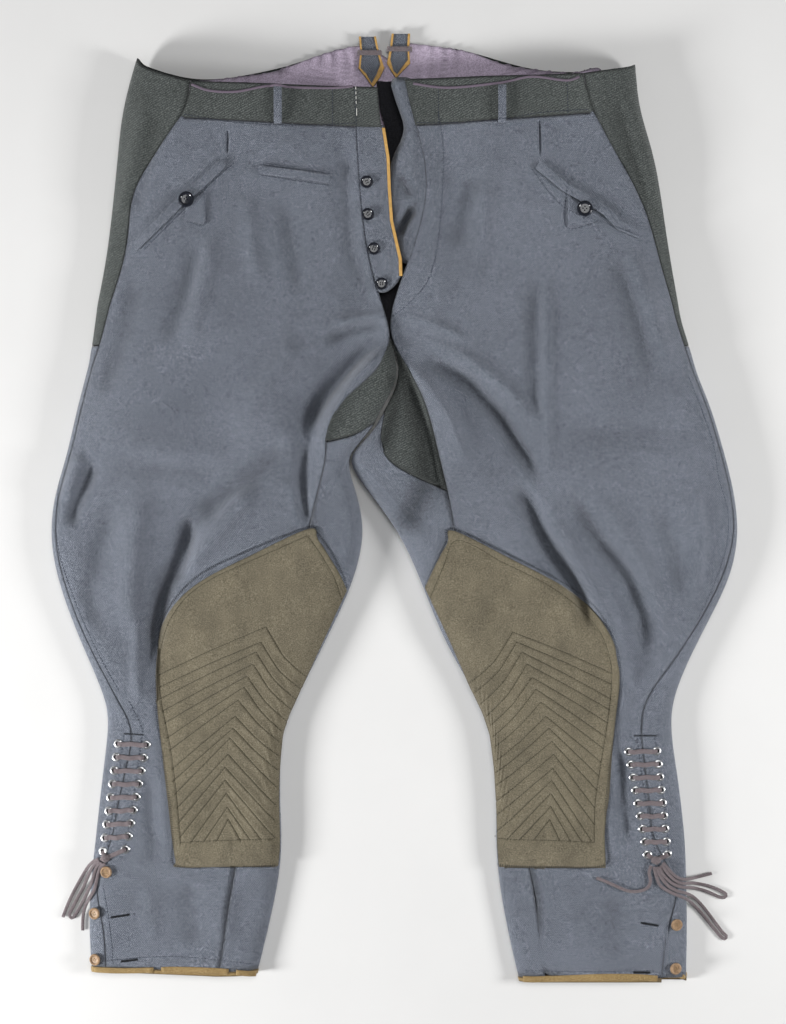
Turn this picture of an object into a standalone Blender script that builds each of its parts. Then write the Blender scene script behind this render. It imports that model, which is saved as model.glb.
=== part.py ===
"""Riding breeches laid flat, front side up.

Each leg is a flattened tube of cloth. A table gives its seams, edges and height at a few
sections, and every panel is a wall on that tube between two seams. X runs across the front,
+Y runs from the hems to the waist and +Z up from the surface that the breeches lie on.
The tables are in millimetres: x from the middle of the width, rise above the lower hem.
"""
import math
from collections import namedtuple

import bmesh
import bpy
from mathutils import Vector
from mathutils.bvhtree import BVHTree

MM = 0.001
MIDDLE_X = 0.10
MIDDLE_RISE = 500.85

WALL = 1.8
SUEDE = 1.3
LINING = 1.2
SEAM_GAP = 0.3
SEAT_SEAM_DROP = 0.7
LAY_GAP = 0.5

# The side of a tube: where its widest point lies, and how far its lower roll reaches
EDGE_SHARE = 0.42
LOWER_ROLL_SHARE = 0.45
CROTCH_RISE = 697.0
CROTCH_BLEND = 42.0
FORK_RISE = 668.0
FORK_BLEND = 20.0

Section = namedtuple("Section", "rise outer outseam inseam inner top outer_roll inner_roll")
Row = namedtuple("Row", "outseam edge inseam")
Fold = namedtuple("Fold", "width depth path")
Leg = namedtuple("Leg", "name way sections rows folds back_edge hip_rise corner_rise seat_row")

LEFT_SECTIONS = (
    Section(970, -270.0, -212.0, -42.0, -6.5, 36.0, 60, 10),
    Section(940, -279.0, -212.0, -41.5, -6.5, 36.0, 60, 10),
    Section(920, -283.5, -216.0, -40.6, -6.5, 36.0, 60, 10),
    Section(895, -288.0, -229.0, -39.6, -6.5, 35.0, 62, 10),
    Section(865, -290.5, -251.0, -38.0, -6.5, 34.0, 62, 10),
    Section(835, -293.4, -269.5, -36.0, -6.5, 33.0, 60, 10),
    Section(800, -297.3, -275.6, -32.4, -6.5, 32.0, 58, 10),
    Section(760, -302.7, -282.0, -27.0, -6.5, 31.0, 56, 10),
    Section(715, -311.0, -296.0, -13.0, -6.5, 31.0, 55, 10),
    Section(697, -313.5, -301.0, -8.0, -6.5, 30.5, 55, 10),
    Section(670, -317.3, -308.4, -6.6, -3.7, 30.0, 55, 14),
    Section(638, -323.2, -319.0, -22.5, 3.7, 30.0, 52, 18),
    Section(620, -327.6, -323.3, -44.6, -5.4, 30.0, 50, 20),
    Section(585, -337.7, -332.3, -67.7, -22.9, 30.0, 48, 22),
    Section(547, -345.6, -341.5, -73.0, -48.2, 29.0, 46, 22),
    Section(500, -358.4, -353.6, -84.4, -35.2, 28.0, 44, 24),
    Section(460, -359.2, -353.9, -93.9, -34.9, 26.0, 42, 26),
    Section(415, -349.7, -343.2, -103.6, -47.3, 25.0, 40, 28),
    Section(360, -329.7, -321.9, -115.6, -72.7, 23.0, 38, 30),
    Section(300, -305.0, -290.5, -128.6, -102.4, 21.0, 36, 30),
    Section(265, -301.9, -274.9, -136.2, -116.9, 20.0, 34, 30),
    Section(205, -308.6, -286.6, -149.2, -120.4, 18.5, 32, 28),
    Section(145, -315.1, -298.5, -162.2, -119.1, 17.0, 30, 26),
    Section(105, -319.2, -313.0, -169.9, -123.2, 16.0, 28, 24),
    Section(60, -321.1, -305.4, -177.0, -132.4, 15.0, 26, 22),
    Section(10, -318.7, -302.4, -184.3, -144.4, 14.0, 24, 20),
)

RIGHT_SECTIONS = (
    Section(970, 252.0, 191.6, 9.0, -6.2, 36.0, 58, 10),
    Section(940, 254.6, 198.3, 11.0, -6.2, 36.0, 58, 10),
    Section(920, 257.3, 204.0, 16.3, -6.2, 36.0, 58, 10),
    Section(895, 263.7, 214.0, 22.6, -6.2, 35.0, 60, 10),
    Section(865, 272.5, 232.3, 30.2, -6.2, 34.0, 60, 10),
    Section(835, 277.9, 250.2, 32.3, -6.2, 33.0, 60, 10),
    Section(800, 283.2, 264.8, 27.8, -6.2, 32.0, 58, 10),
    Section(760, 289.4, 276.3, 14.2, -6.2, 31.0, 56, 10),
    Section(715, 297.2, 289.9, 0.5, -6.2, 31.0, 55, 10),
    Section(697, 300.5, 294.5, -4.7, -6.2, 30.5, 55, 10),
    Section(670, 308.7, 303.2, 0.0, -3.4, 30.0, 54, 16),
    Section(638, 318.2, 314.0, 23.1, 6.4, 30.0, 52, 24),
    Section(620, 325.7, 321.4, 28.2, -2.2, 30.0, 50, 30),
    Section(585, 337.9, 333.5, 38.0, -20.4, 30.0, 48, 44),
    Section(547, 348.0, 343.9, 48.8, -45.7, 29.0, 46, 60),
    Section(500, 358.4, 353.7, 58.7, -13.1, 28.0, 44, 50),
    Section(460, 358.7, 353.3, 65.4, 11.0, 26.0, 42, 40),
    Section(415, 346.6, 336.5, 75.7, 30.5, 25.0, 40, 34),
    Section(360, 318.4, 305.8, 88.2, 53.6, 23.0, 38, 30),
    Section(300, 294.5, 264.3, 101.9, 86.3, 21.0, 36, 28),
    Section(265, 291.6, 258.8, 111.5, 100.6, 20.0, 34, 28),
    Section(205, 299.6, 265.0, 124.0, 106.6, 18.5, 32, 28),
    Section(145, 305.8, 274.2, 137.0, 107.2, 17.0, 30, 26),
    Section(105, 307.1, 296.6, 144.9, 110.8, 16.0, 28, 24),
    Section(60, 307.9, 286.7, 151.7, 118.5, 15.0, 26, 22),
    Section(0, 307.1, 279.8, 159.1, 131.8, 14.0, 24, 20),
)

# The rows of the cloth grid: their rise at the outseam, at the inner edge and at the inseam
LEFT_ROWS = (
    Row(905, 905, 897),
    Row(868, 868, 862),
    Row(830, 830, 824),
    Row(792, 792, 784),
    Row(755, 745, 742),
    Row(718, 697, 697),
    Row(708, 676, 672),
    Row(698, 650, 645),
    Row(689, 628, 620),
    Row(680, 609, 595),
    Row(670, 587, 569),
    Row(658, 567, 557),
    Row(645, 547, 543),
    Row(600, 515, 512),
    Row(555, 480, 478),
    Row(510, 445, 444),
    Row(465, 408, 408),
    Row(420, 372, 372),
    Row(375, 340, 340),
    Row(335, 312, 312),
    Row(297, 285, 285),
    Row(265, 262, 262),
    Row(225, 225, 225),
    Row(185, 185, 185),
    Row(145, 145, 145),
    Row(105, 105, 105),
    Row(62, 62, 62),
    Row(18, 15, 13),
)

RIGHT_ROWS = (
    Row(910, 905, 898),
    Row(870, 868, 862),
    Row(830, 830, 824),
    Row(792, 792, 784),
    Row(755, 745, 742),
    Row(718, 697, 697),
    Row(706, 676, 664),
    Row(694, 650, 618),
    Row(682, 624, 567),
    Row(670, 598, 518),
    Row(657, 581, 508),
    Row(645, 565, 500),
    Row(632, 547, 492),
    Row(600, 520, 470),
    Row(560, 485, 445),
    Row(520, 450, 418),
    Row(475, 412, 388),
    Row(430, 376, 358),
    Row(385, 344, 330),
    Row(340, 314, 305),
    Row(300, 286, 282),
    Row(265, 262, 262),
    Row(225, 225, 225),
    Row(185, 185, 185),
    Row(145, 145, 145),
    Row(105, 105, 105),
    Row(60, 60, 60),
    Row(7, 7, 7),
)

# The largest folds: half width, height (a trough is negative) and the way that each runs
TORSO_FOLDS = (
    Fold(110, -9, ((-8, 960), (-8, 800), (-8, 720))),
    Fold(12, 4, ((14, 930), (36, 865), (38, 825), (28, 780), (10, 735))),
    Fold(16, -5, ((52, 870), (64, 830), (60, 780))),
    Fold(10, -4, ((-54, 863), (-46, 805), (-39, 749))),
    Fold(26, -3, ((-167, 860), (-99, 813), (-73, 760))),
)

LEFT_FOLDS = TORSO_FOLDS + (
    Fold(15, -9, ((-30, 684), (-58, 650), (-88, 610), (-90, 560), (-105, 510))),
    Fold(14, -5, ((-216, 497), (-223, 465), (-237, 428), (-247, 393))),
    Fold(13, -4, ((-329, 571), (-306, 545), (-336, 492))),
    Fold(24, -4, ((-162, 592), (-188, 540), (-215, 496))),
    Fold(14, -3, ((-300, 514), (-320, 417))),
    Fold(70, 4, ((-190, 690), (-240, 600))),
)

RIGHT_FOLDS = TORSO_FOLDS + (
    Fold(17, -9, ((4, 690), (27, 671), (69, 622), (108, 582), (139, 540), (154, 487), (174, 435))),
    Fold(14, 3, ((157, 687), (158, 561), (166, 508))),
    Fold(28, -3, ((163, 582), (310, 582))),
    Fold(13, -3, ((204, 466), (233, 403), (258, 340), (262, 267))),
    Fold(18, -9, ((6, 655), (12, 592), (28, 545), (38, 500))),
    Fold(60, 4, ((230, 690), (270, 560))),
)

# The top edge of the back, from the hip to the centre seam, as x and rise
LEFT_BACK_EDGE = (
    (-262, 967), (-220, 952), (-180, 954), (-124, 962), (-81, 978), (-44, 987), (-22, 986), (-6, 974),
)
RIGHT_BACK_EDGE = (
    (-6, 974), (12, 990), (47, 987), (85, 980), (114, 969), (167, 961), (195, 960), (245, 963),
)

LEFT = Leg("l", 1, LEFT_SECTIONS, LEFT_ROWS, LEFT_FOLDS, LEFT_BACK_EDGE, 943.0, 972.0, 10)
RIGHT = Leg("r", -1, RIGHT_SECTIONS, RIGHT_ROWS, RIGHT_FOLDS, RIGHT_BACK_EDGE, 951.0, 965.0, 9)
CROTCH_ROW = 5

# Shares of the way from outseam to inseam where the front's columns stand
FRONT_COLUMNS = (0, 0.02, 0.05, 0.1, 0.17, 0.26, 0.36, 0.46, 0.56, 0.66, 0.76, 0.85, 0.93, 1)
# Cells on each stretch of the back: upper outer roll, lower outer roll, underside,
# lower inner roll, and from the inner edge over the top to the inseam
BACK_CELLS = (3, 2, 5, 2, 4)
TORSO_STRETCHES = 3
# Share of the last stretch that goes straight round the inner edge
EDGE_TURN = 0.25

# Small sizes that the pieces share
WAISTBAND_FALL = 4.0
BINDING = 4.5
REACH = 12.0
BUTTON_SIDES = 10
WELT_LIFT = 1.1
EYELET_HOLE = 2.3
LACE_RADIUS = 1.1
LACE_ROWS = 9
LACE_END_POINTS = 12

# The knee patch, laid over front and back: its arched top edge, the lines of its sides
# and the first and last of its sixteen sewn chevrons
Patch = namedtuple("Patch", "arch apex_line outer_stitch outer_edge first_outer outer_step first_inner"
                   " inner_step foot")
CHEVRONS = 16
APEX_STEP = 13.3
FIRST_APEX = 376.0
QUILT_RISE = 0.9
QUILT_FOOT = 149.0
PATCH_ROLL_LIFT = 1.0
ARCH_ROWS = 4
FOOT_ROWS = 4
# The patch's columns beyond its apex stand on those of the panel under it: share of the way
# down the chevron, and share of the back's last stretch, or past 1 of the way to the apex
PATCH_INNER_COLUMNS = ((0.18, 1.5), (0.35, 1.0), (0.6, 0.75), (0.85, 0.5), (1.0, 0.25))

LEFT_PATCH = Patch(
    arch=((-247, 361), (-240, 383), (-208, 420), (-152, 449), (-90, 479), (-82, 471), (-75, 461), (-66, 446),
          (-57, 430), (-51, 414)),
    apex_line=((60, -181), (174, -175), (229, -177), (258, -172), (298, -163), (336, -150), (376, -134)),
    outer_stitch=((40, -219), (148, -223.5), (192, -227), (246, -234), (294, -243), (332, -246), (358, -243)),
    outer_edge=((40, -223), (123, -228.5), (152, -232.5), (200, -238), (254, -244), (294, -248), (358, -247.5)),
    first_outer=327.6, outer_step=14.3, first_inner=319.0, inner_step=13.6, foot=124.0,
)
RIGHT_PATCH = Patch(
    arch=((229, 355), (220, 374), (188, 411), (126, 444), (62, 477), (57, 468), (51, 457), (45, 445), (39, 432),
          (33, 417)),
    apex_line=((60, 161), (175, 162), (202, 163), (244, 166), (281, 158), (324, 142), (376, 123)),
    outer_stitch=((40, 207), (149, 210.5), (187, 209.5), (213, 211.5), (246, 217), (280, 223), (326, 227),
                  (348, 224), (377, 212)),
    outer_edge=((40, 217), (124, 221), (160, 220), (200, 224), (254, 228.5), (310, 233.5), (342, 233.5)),
    first_outer=329.7, outer_step=14.6, first_inner=315.0, inner_step=13.4, foot=123.0,
)

# The back lining above the waistband
LINING_INSET = 24.0
LINING_CELLS = 10
LINING_FOOT = 896.0

# The brace tabs of the back
TAB_CLOTH = 1.6
LEATHER = 1.0
EDGING = 4.0
EDGING_SHARE = 0.24
KEEPER_DROP = 2.6
KEEPER_ROOM = 2.0

# Rise, left x and right x down each tab
LEFT_TAB = ((996.5, -37.5, -19.5), (981, -36.0, -16.5), (963, -38.0, -10.5), (953, -30.0, -15.5), (943, -23.2, -22.2))
RIGHT_TAB = ((999.5, -3.0, 16.5), (983, -5.0, 15.5), (968, -8.0, 16.5), (960, -3.5, 8.5), (952.5, 1.2, 2.2))

# Belt loops
LOOP_HALF = 4.2
LOOP_HEAD = 939.0
LOOP_FOOT = 899.0

# The fly: rise, the fly seam, and the leather-edged side of the button stand
STAND_LINE = (
    (896, -38.8, -13.5), (865, -37.1, -8.6), (835, -35.1, -7.4), (800, -31.2, -5.0), (778, -27.8, 0.0),
    (760, -24.6, 4.0), (742, -20.0, 4.6), (728, -15.8, 2.0),
)
# The folded-back facing of the other side: rise, its free edge and where it runs under the front
FACING_LINE = (
    (944, 2.0, 12.0), (920, 8.0, 19.0), (897, 15.0, 26.0), (878, 10.5, 31.0), (862, 3.5, 34.0),
    (835, -0.5, 36.0), (808, 2.0, 31.0), (785, 7.0, 24.0), (762, 10.5, 16.5),
)
FLY_BUTTONS = ((-28.9, 840.0), (-27.8, 806.4), (-21.5, 770.7), (-13.5, 734.0))
TRIM_HALF = 1.6
FACING_DROP = 3.3

# Hip pockets: the slanted welt, the small stitched tab below it and the button
LEFT_WELT = ((-177, 859), (-199, 838), (-222, 818), (-247, 793), (-271, 770))
RIGHT_WELT = ((149, 856), (177, 833), (200, 820), (220, 808), (234, 793), (258, 783))
LEFT_POCKET_TAB = (((-209, 821.5), (-196, 828)), ((-217, 812), (-196, 812)), ((-218, 798), (-196, 794)))
RIGHT_POCKET_TAB = (((180, 823), (213, 803)), ((180, 813), (213, 800)), ((180, 792), (213, 797)))
WATCH_WELT = ((-142, 852), (-104, 847.5), (-67, 842))

# Calf openings: first and last eyelet of the column nearer the edge and of the other one
# and where its lace is tied in a knot and ends at it from the two columns
Lacing = namedtuple("Lacing", "edge_first edge_last front_first front_last knot edge_tail front_tail")
LEFT_LACING = Lacing((-289.3, 253.0), (-305.6, 139.7), (-259.9, 252.0), (-281.9, 142.3),
                     (-303.0, 133.0), (-305.2, 137.2), (-297.0, 134.2))
RIGHT_LACING = Lacing((274.6, 245.2), (286.1, 136.5), (245.2, 244.7), (265.1, 136.5),
                      (273.9, 131.0), (279.8, 132.6), (268.0, 132.6))
LEG_BUTTONS = {
    "leg_button_l1": (LEFT, -301.5, 118.6),
    "leg_button_l2": (LEFT, -314.0, 74.5),
    "leg_button_l3": (LEFT, -313.5, 26.0),
    "leg_button_r1": (RIGHT, 295.5, 63.0),
    "leg_button_r2": (RIGHT, 294.5, 17.0),
}
KNOT_SIZE = (5.0, 3.6, 2.8)

# The lace's free ends and loops beyond each knot, as x, rise and height
LACE_ENDS = {
    "lace_end_l1": (
        (-309.8, 131.6, 15.0), (-314.5, 129.8, 12.8), (-320.5, 124.5, 8.0), (-326, 117, 3.2), (-332.5, 106, 1.4),
        (-339, 94, 1.4), (-345, 81, 1.4), (-350, 68, 1.4),
    ),
    "lace_loop_l": (
        (-308.3, 129.2, 15.2), (-313.5, 127, 13.2), (-319, 119.5, 9.6), (-323.5, 110.5, 5.0), (-328, 100, 1.8),
        (-334, 89, 1.4), (-339.5, 78.5, 1.4), (-343, 70.5, 1.4), (-340, 67, 1.4), (-334.5, 74, 1.4),
        (-328.5, 85, 1.6), (-322.8, 96.5, 5.8), (-317.9, 107, 11.2), (-314.6, 117.5, 13.0),
        (-311.4, 124.6, 14.3), (-305.9, 127.6, 16.0),
    ),
    "lace_end_l2": (
        (-303, 127.2, 16.6), (-307.8, 123.6, 15.4), (-310.2, 118, 14.8), (-312.3, 110, 14.3), (-314.7, 100, 13.7),
        (-319.7, 91, 11.4), (-325, 82, 5.4), (-328.5, 70, 1.8), (-329.2, 54, 1.4),
    ),
    "lace_end_r1": (
        (280.9, 128.3, 17.9), (286.5, 122, 17.2), (292.5, 115.5, 16.5), (299, 111.3, 15.0), (306, 109.7, 11.6),
        (312.5, 109.7, 6.0), (320, 110.5, 1.8), (335, 114.2, 1.4),
    ),
    "lace_loop_r1": (
        (279.3, 125.9, 18.0), (284, 119.5, 17.4), (291, 112, 16.8), (298, 107.3, 15.5), (304.5, 105.6, 12.6),
        (311.5, 105, 6.6), (319, 103.7, 2.0), (332, 100.8, 1.4), (345, 95.5, 1.4), (350.3, 91.5, 1.4),
        (345.5, 88.5, 1.4), (330, 95, 1.4), (319.5, 98.2, 1.8), (311.8, 100.2, 6.4), (304.5, 101.4, 12.4),
        (297, 103.6, 15.8), (289.5, 107.6, 17.2), (281.5, 115.5, 17.8), (276.9, 124.4, 18.2),
    ),
    "lace_loop_r2": (
        (274.2, 123.9, 18.2), (278.8, 113.5, 18.0), (286.5, 104.3, 17.6), (295, 99, 16.1), (303, 96.4, 13.4),
        (309.5, 93.3, 8.0), (316, 89, 3.0), (324, 81, 1.4), (334, 68.5, 1.4), (345, 53.5, 1.4),
        (350.5, 47.6, 1.4), (346.8, 45.3, 1.4), (338, 55, 1.4), (328, 67.5, 1.4), (318.5, 78.2, 1.8),
        (311.5, 85, 6.0), (305, 90, 12.0), (297, 93.8, 15.2), (287, 98.5, 17.4), (277, 106.5, 18.0),
        (271.4, 124.3, 18.5),
    ),
    "lace_end_r2": (
        (268.6, 125.6, 18.4), (266.5, 118, 18.2), (268, 110, 18.0), (265.5, 103, 17.9), (258, 99, 17.8),
        (246, 98.5, 17.8), (234, 103, 17.9), (222, 108.5, 18.0), (211.5, 112.5, 18.1),
    ),
}
# How far inside the edge column the lace's under-run lies
SIDE_RUN = 3.6


def material(name, colour, roughness, metallic=0.0):
    """A plain finish for one piece."""
    finish = bpy.data.materials.new(name)
    finish.use_nodes = True
    shader = finish.node_tree.nodes["Principled BSDF"]
    shader.inputs["Base Color"].default_value = (*colour, 1.0)
    shader.inputs["Roughness"].default_value = roughness
    shader.inputs["Metallic"].default_value = metallic
    return finish


def clear_scene():
    for old in list(bpy.data.objects):
        bpy.data.objects.remove(old, do_unlink=True)
    groups = {}
    for title in ("riding_breeches", "cutters"):
        groups[title] = bpy.data.collections.new(title)
        bpy.context.scene.collection.children.link(groups[title])
    return groups


COLLECTIONS = clear_scene()
FINISHES = {
    "wool": ((0.14, 0.165, 0.215), 0.9),
    "twill": ((0.105, 0.125, 0.115), 0.85),
    "suede": ((0.21, 0.21, 0.135), 0.95),
    "lining": ((0.17, 0.135, 0.18), 0.6),
    "leather": ((0.55, 0.35, 0.12), 0.55),
    "binding": ((0.3, 0.21, 0.08), 0.7),
    "lace": ((0.19, 0.15, 0.16), 0.8),
    "black_button": ((0.01, 0.01, 0.015), 0.25),
    "horn_button": ((0.3, 0.19, 0.11), 0.4),
}


def smooth_step(low, high, value):
    share = min(1.0, max(0.0, (value - low) / (high - low)))
    return share * share * (3.0 - 2.0 * share)


def mix(first, second, share):
    return first + (second - first) * share


def through(keys, values, at):
    """A smooth curve through values at rising keys, read at one key."""
    at = min(keys[-1], max(keys[0], at))
    right = next(i for i in range(1, len(keys)) if at <= keys[i])
    left = right - 1

    def slope(i):
        before, after = max(0, i - 1), min(len(keys) - 1, i + 1)
        return (values[after] - values[before]) / (keys[after] - keys[before])

    span = keys[right] - keys[left]
    t = (at - keys[left]) / span
    bend = t * t * (3 - 2 * t)
    ease_in = t * (1 - t) * (1 - t) * span * slope(left)
    ease_out = t * t * (t - 1) * span * slope(right)
    return mix(values[left], values[right], bend) + ease_in + ease_out


def section(leg, rise):
    """The leg's section at any rise, read smoothly from its table."""
    table = leg.sections[::-1]
    keys = [row.rise for row in table]
    return Section(rise, *(through(keys, [row[i] for row in table], rise) for i in range(1, 8)))


def rounded(share):
    """Height of a quarter-round roll at a share of its width, from 0 at its edge to 1."""
    if share >= 1.0:
        return 1.0
    return math.sqrt(max(0.0, 1.0 - (1.0 - max(0.0, share)) ** 2))


def fold_height(leg, x, rise):
    total = 0.0
    for fold in leg.folds:
        nearest = min(
            distance_to_line(x, rise, start, end) for start, end in zip(fold.path, fold.path[1:])
        )
        total += fold.depth * math.exp(-((nearest / fold.width) ** 2))
    return total


def distance_to_line(x, rise, start, end):
    run, climb = end[0] - start[0], end[1] - start[1]
    share = ((x - start[0]) * run + (rise - start[1]) * climb) / (run * run + climb * climb)
    share = min(1.0, max(0.0, share))
    return math.hypot(x - start[0] - share * run, rise - start[1] - share * climb)


def parting(rise):
    """0 above the crotch, where both legs are one tube, and 1 where each is its own."""
    return smooth_step(CROTCH_RISE, CROTCH_RISE - CROTCH_BLEND, rise)


def top_height(leg, s, x, rise):
    """Height of the upper side of the tube over the surface."""
    outer = rounded((x - s.outer) * leg.way / s.outer_roll)
    inner = mix(1.0, rounded((s.inner - x) * leg.way / s.inner_roll), parting(rise))
    low = s.top * EDGE_SHARE
    return low + (s.top - low + fold_height(leg, x, rise)) * outer * inner


def ring(leg, rise, around):
    """A point of the tube. around goes once round it in six stretches: from the outer edge
    up its roll (0 to 1), over the top (1 to 2), down the inner roll (2 to 3), under the
    inner edge (3 to 4), along the underside (4 to 5) and up under the outer edge (5 to 6)."""
    around %= 6.0
    s = section(leg, rise)
    turn = math.radians(90.0 * (around % 1.0))
    top_outer = s.outer + leg.way * s.outer_roll
    top_inner = s.inner - leg.way * s.inner_roll
    lower_roll = s.top * LOWER_ROLL_SHARE
    under_outer = s.outer + leg.way * lower_roll
    apart = smooth_step(FORK_RISE, FORK_RISE - FORK_BLEND, rise)
    under_inner = s.inner - leg.way * max(SEAM_GAP / 2, lower_roll * apart)
    if around < 3.0:
        if around < 1.0:
            x = s.outer + leg.way * s.outer_roll * (1.0 - math.cos(turn))
        elif around < 2.0:
            x = mix(top_outer, top_inner, around - 1.0)
        else:
            x = s.inner - leg.way * s.inner_roll * (1.0 - math.sin(turn))
        return Vector((x, rise, top_height(leg, s, x, rise)))
    if around < 4.0:
        low = top_height(leg, s, s.inner, rise)
        return Vector((mix(under_inner, s.inner, math.cos(turn)), rise, low * (1.0 - math.sin(turn))))
    if around < 5.0:
        return Vector((mix(under_inner, under_outer, around - 4.0), rise, 0.0))
    low = top_height(leg, s, s.outer, rise)
    return Vector((mix(under_outer, s.outer, math.sin(turn)), rise, low * (1.0 - math.cos(turn))))


def around_at(leg, s, x):
    """Where on the upper side of the ring a given x lies."""
    outer = (x - s.outer) * leg.way
    inner = (s.inner - x) * leg.way
    if outer < s.outer_roll:
        return math.degrees(math.acos(1.0 - max(0.0, outer) / s.outer_roll)) / 90.0
    if inner < s.inner_roll:
        return 3.0 - math.degrees(math.acos(1.0 - max(0.0, inner) / s.inner_roll)) / 90.0
    top_outer = s.outer + leg.way * s.outer_roll
    top_inner = s.inner - leg.way * s.inner_roll
    return 1.0 + (x - top_outer) / (top_inner - top_outer)


def facing(leg, rise, around):
    """The outward normal of the tube, from points close by on either side."""
    across = ring(leg, rise, around + 0.02) - ring(leg, rise, around - 0.02)
    along = ring(leg, rise + 1.0, around) - ring(leg, rise - 1.0, around)
    return (across.cross(along) * leg.way).normalized()


def spot(leg, rise, around):
    return ring(leg, rise, around), facing(leg, rise, around)


def top_spot(leg, x, rise):
    return spot(leg, rise, around_at(leg, section(leg, rise), x))


def torso_spot(leg, x, rise):
    """A spot on top of the hips, where one leg's tube runs on past the middle."""
    def height(x, rise):
        return top_height(leg, section(leg, rise), x, rise)

    slope_x = (height(x + 1.0, rise) - height(x - 1.0, rise)) / 2.0
    slope_rise = (height(x, rise + 1.0) - height(x, rise - 1.0)) / 2.0
    return Vector((x, rise, height(x, rise))), Vector((-slope_x, -slope_rise, 1.0)).normalized()


def placed(point):
    """Garment millimetres in the frame's metres."""
    return Vector(((point.x - MIDDLE_X) * MM, (point.y - MIDDLE_RISE) * MM, point.z * MM))


def add_object(name, mesh, finish, group="riding_breeches"):
    piece = bpy.data.objects.new(name, mesh)
    COLLECTIONS[group].objects.link(piece)
    if finish:
        colour, roughness = FINISHES[finish]
        mesh.materials.append(material(name, colour, roughness))
    return piece


def finish_mesh(name, bm, finish, shared_angle=40.0):
    bmesh.ops.recalc_face_normals(bm, faces=bm.faces)
    mesh = bpy.data.meshes.new(name)
    bm.to_mesh(mesh)
    bm.free()
    mesh.shade_smooth()
    mesh.set_sharp_from_angle(angle=math.radians(shared_angle))
    return add_object(name, mesh, finish)


def depth_at(depth, i, j):
    return depth(i, j) if callable(depth) else depth


def cloth(name, grid, inner, outer, finish, cut_rise=None):
    """A wall on a grid of (point, normal) spots, from one distance off it to another.
    Where the grid holds None the cloth has no point."""
    bm = bmesh.new()
    lower, upper = {}, {}
    for i, row in enumerate(grid):
        for j, place in enumerate(row):
            if place:
                point, normal = place
                lower[i, j] = bm.verts.new(placed(point + normal * depth_at(inner, i, j)))
                upper[i, j] = bm.verts.new(placed(point + normal * depth_at(outer, i, j)))
    sides = {}
    for i in range(len(grid) - 1):
        for j in range(len(grid[0]) - 1):
            corners = ((i, j), (i, j + 1), (i + 1, j + 1), (i + 1, j))
            if all(corner in upper for corner in corners):
                bm.faces.new([upper[c] for c in corners])
                bm.faces.new([lower[c] for c in reversed(corners)])
                for pair in zip(corners, corners[1:] + corners[:1]):
                    key = frozenset(pair)
                    sides[key] = None if key in sides else pair
    for pair in filter(None, sides.values()):
        first, second = pair
        bm.faces.new([upper[second], upper[first], lower[first], lower[second]])
    if cut_rise is not None:
        everything = bm.verts[:] + bm.edges[:] + bm.faces[:]
        plane = placed(Vector((0, cut_rise, 0)))
        bmesh.ops.bisect_plane(bm, geom=everything, plane_co=plane, plane_no=(0, -1, 0), clear_outer=True)
        bmesh.ops.holes_fill(bm, edges=[edge for edge in bm.edges if edge.is_boundary])
    return finish_mesh(name, bm, finish)


def front_grid(leg):
    grid = []
    for row in leg.rows:
        line = []
        for share in FRONT_COLUMNS:
            rise = mix(row.outseam, row.inseam, share)
            s = section(leg, rise)
            gap = leg.way * SEAM_GAP / 2
            line.append(top_spot(leg, mix(s.outseam + gap, s.inseam - gap, share), rise))
        grid.append(line)
    return grid


def back_stops():
    """Stretch and share of it for each column of the back, from the outseam to the inseam."""
    stops = [(0, 0.0)]
    for stretch, cells in enumerate(BACK_CELLS):
        stops += [(stretch, (i + 1) / cells) for i in range(cells)]
    return stops


def stop_rise(row, stretch, share):
    if stretch < 2:
        return row.outseam
    if stretch == 2:
        return mix(row.outseam, row.edge, share)
    if stretch == 3:
        return row.edge
    return mix(row.edge, row.inseam, max(0.0, share - EDGE_TURN) / (1.0 - EDGE_TURN))


def stop_spot(leg, rise, stretch, share):
    s = section(leg, rise)
    gap = leg.way * SEAM_GAP / 2
    if stretch == 0:
        return spot(leg, rise, around_at(leg, s, s.outseam - gap) * (1.0 - share))
    if stretch == 4:
        return spot(leg, rise, mix(3.0, around_at(leg, s, s.inseam + gap), share))
    return spot(leg, rise, 7.0 - stretch - share)


def back_grid(leg):
    """The back leg panel, from the seat's lower seam to the hem."""
    grid = []
    for number, row in enumerate(leg.rows[leg.seat_row:]):
        drop = SEAT_SEAM_DROP if number == 0 else 0.0
        grid.append([stop_spot(leg, stop_rise(row, *stop) - drop, *stop) for stop in back_stops()])
    return grid


def seat_grid(leg):
    """The seat: hip and back above the crotch, and round the inner thigh below it."""
    stops = back_stops()
    torso = [stop for stop in stops if stop[0] < TORSO_STRETCHES]
    keys = [place[0] for place in leg.back_edge]
    edges = [place[1] for place in leg.back_edge]
    under = leg.rows[0].outseam
    grid = [[], []]
    for stretch, share in torso:
        if stretch == 0:
            edge = mix(leg.hip_rise, leg.corner_rise, share)
        else:
            x = stop_spot(leg, leg.corner_rise, 2, share if stretch == 2 else 0.0)[0].x
            edge = mix(leg.corner_rise, through(keys, edges, x), share if stretch == 1 else 1.0)
        grid[0].append(stop_spot(leg, edge, stretch, share))
        grid[1].append(stop_spot(leg, mix(edge, under, 0.5), stretch, share))
    for line in grid:
        line += [None] * (len(stops) - len(torso))
    for number, row in enumerate(leg.rows[:leg.seat_row + 1]):
        lift = SEAM_GAP / 2 if number == leg.seat_row else 0.0
        line = [stop_spot(leg, stop_rise(row, *stop) + lift, *stop) for stop in stops]
        if number <= CROTCH_ROW:
            line[len(torso):] = [None] * (len(stops) - len(torso))
        grid.append(line)
    return grid


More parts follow.
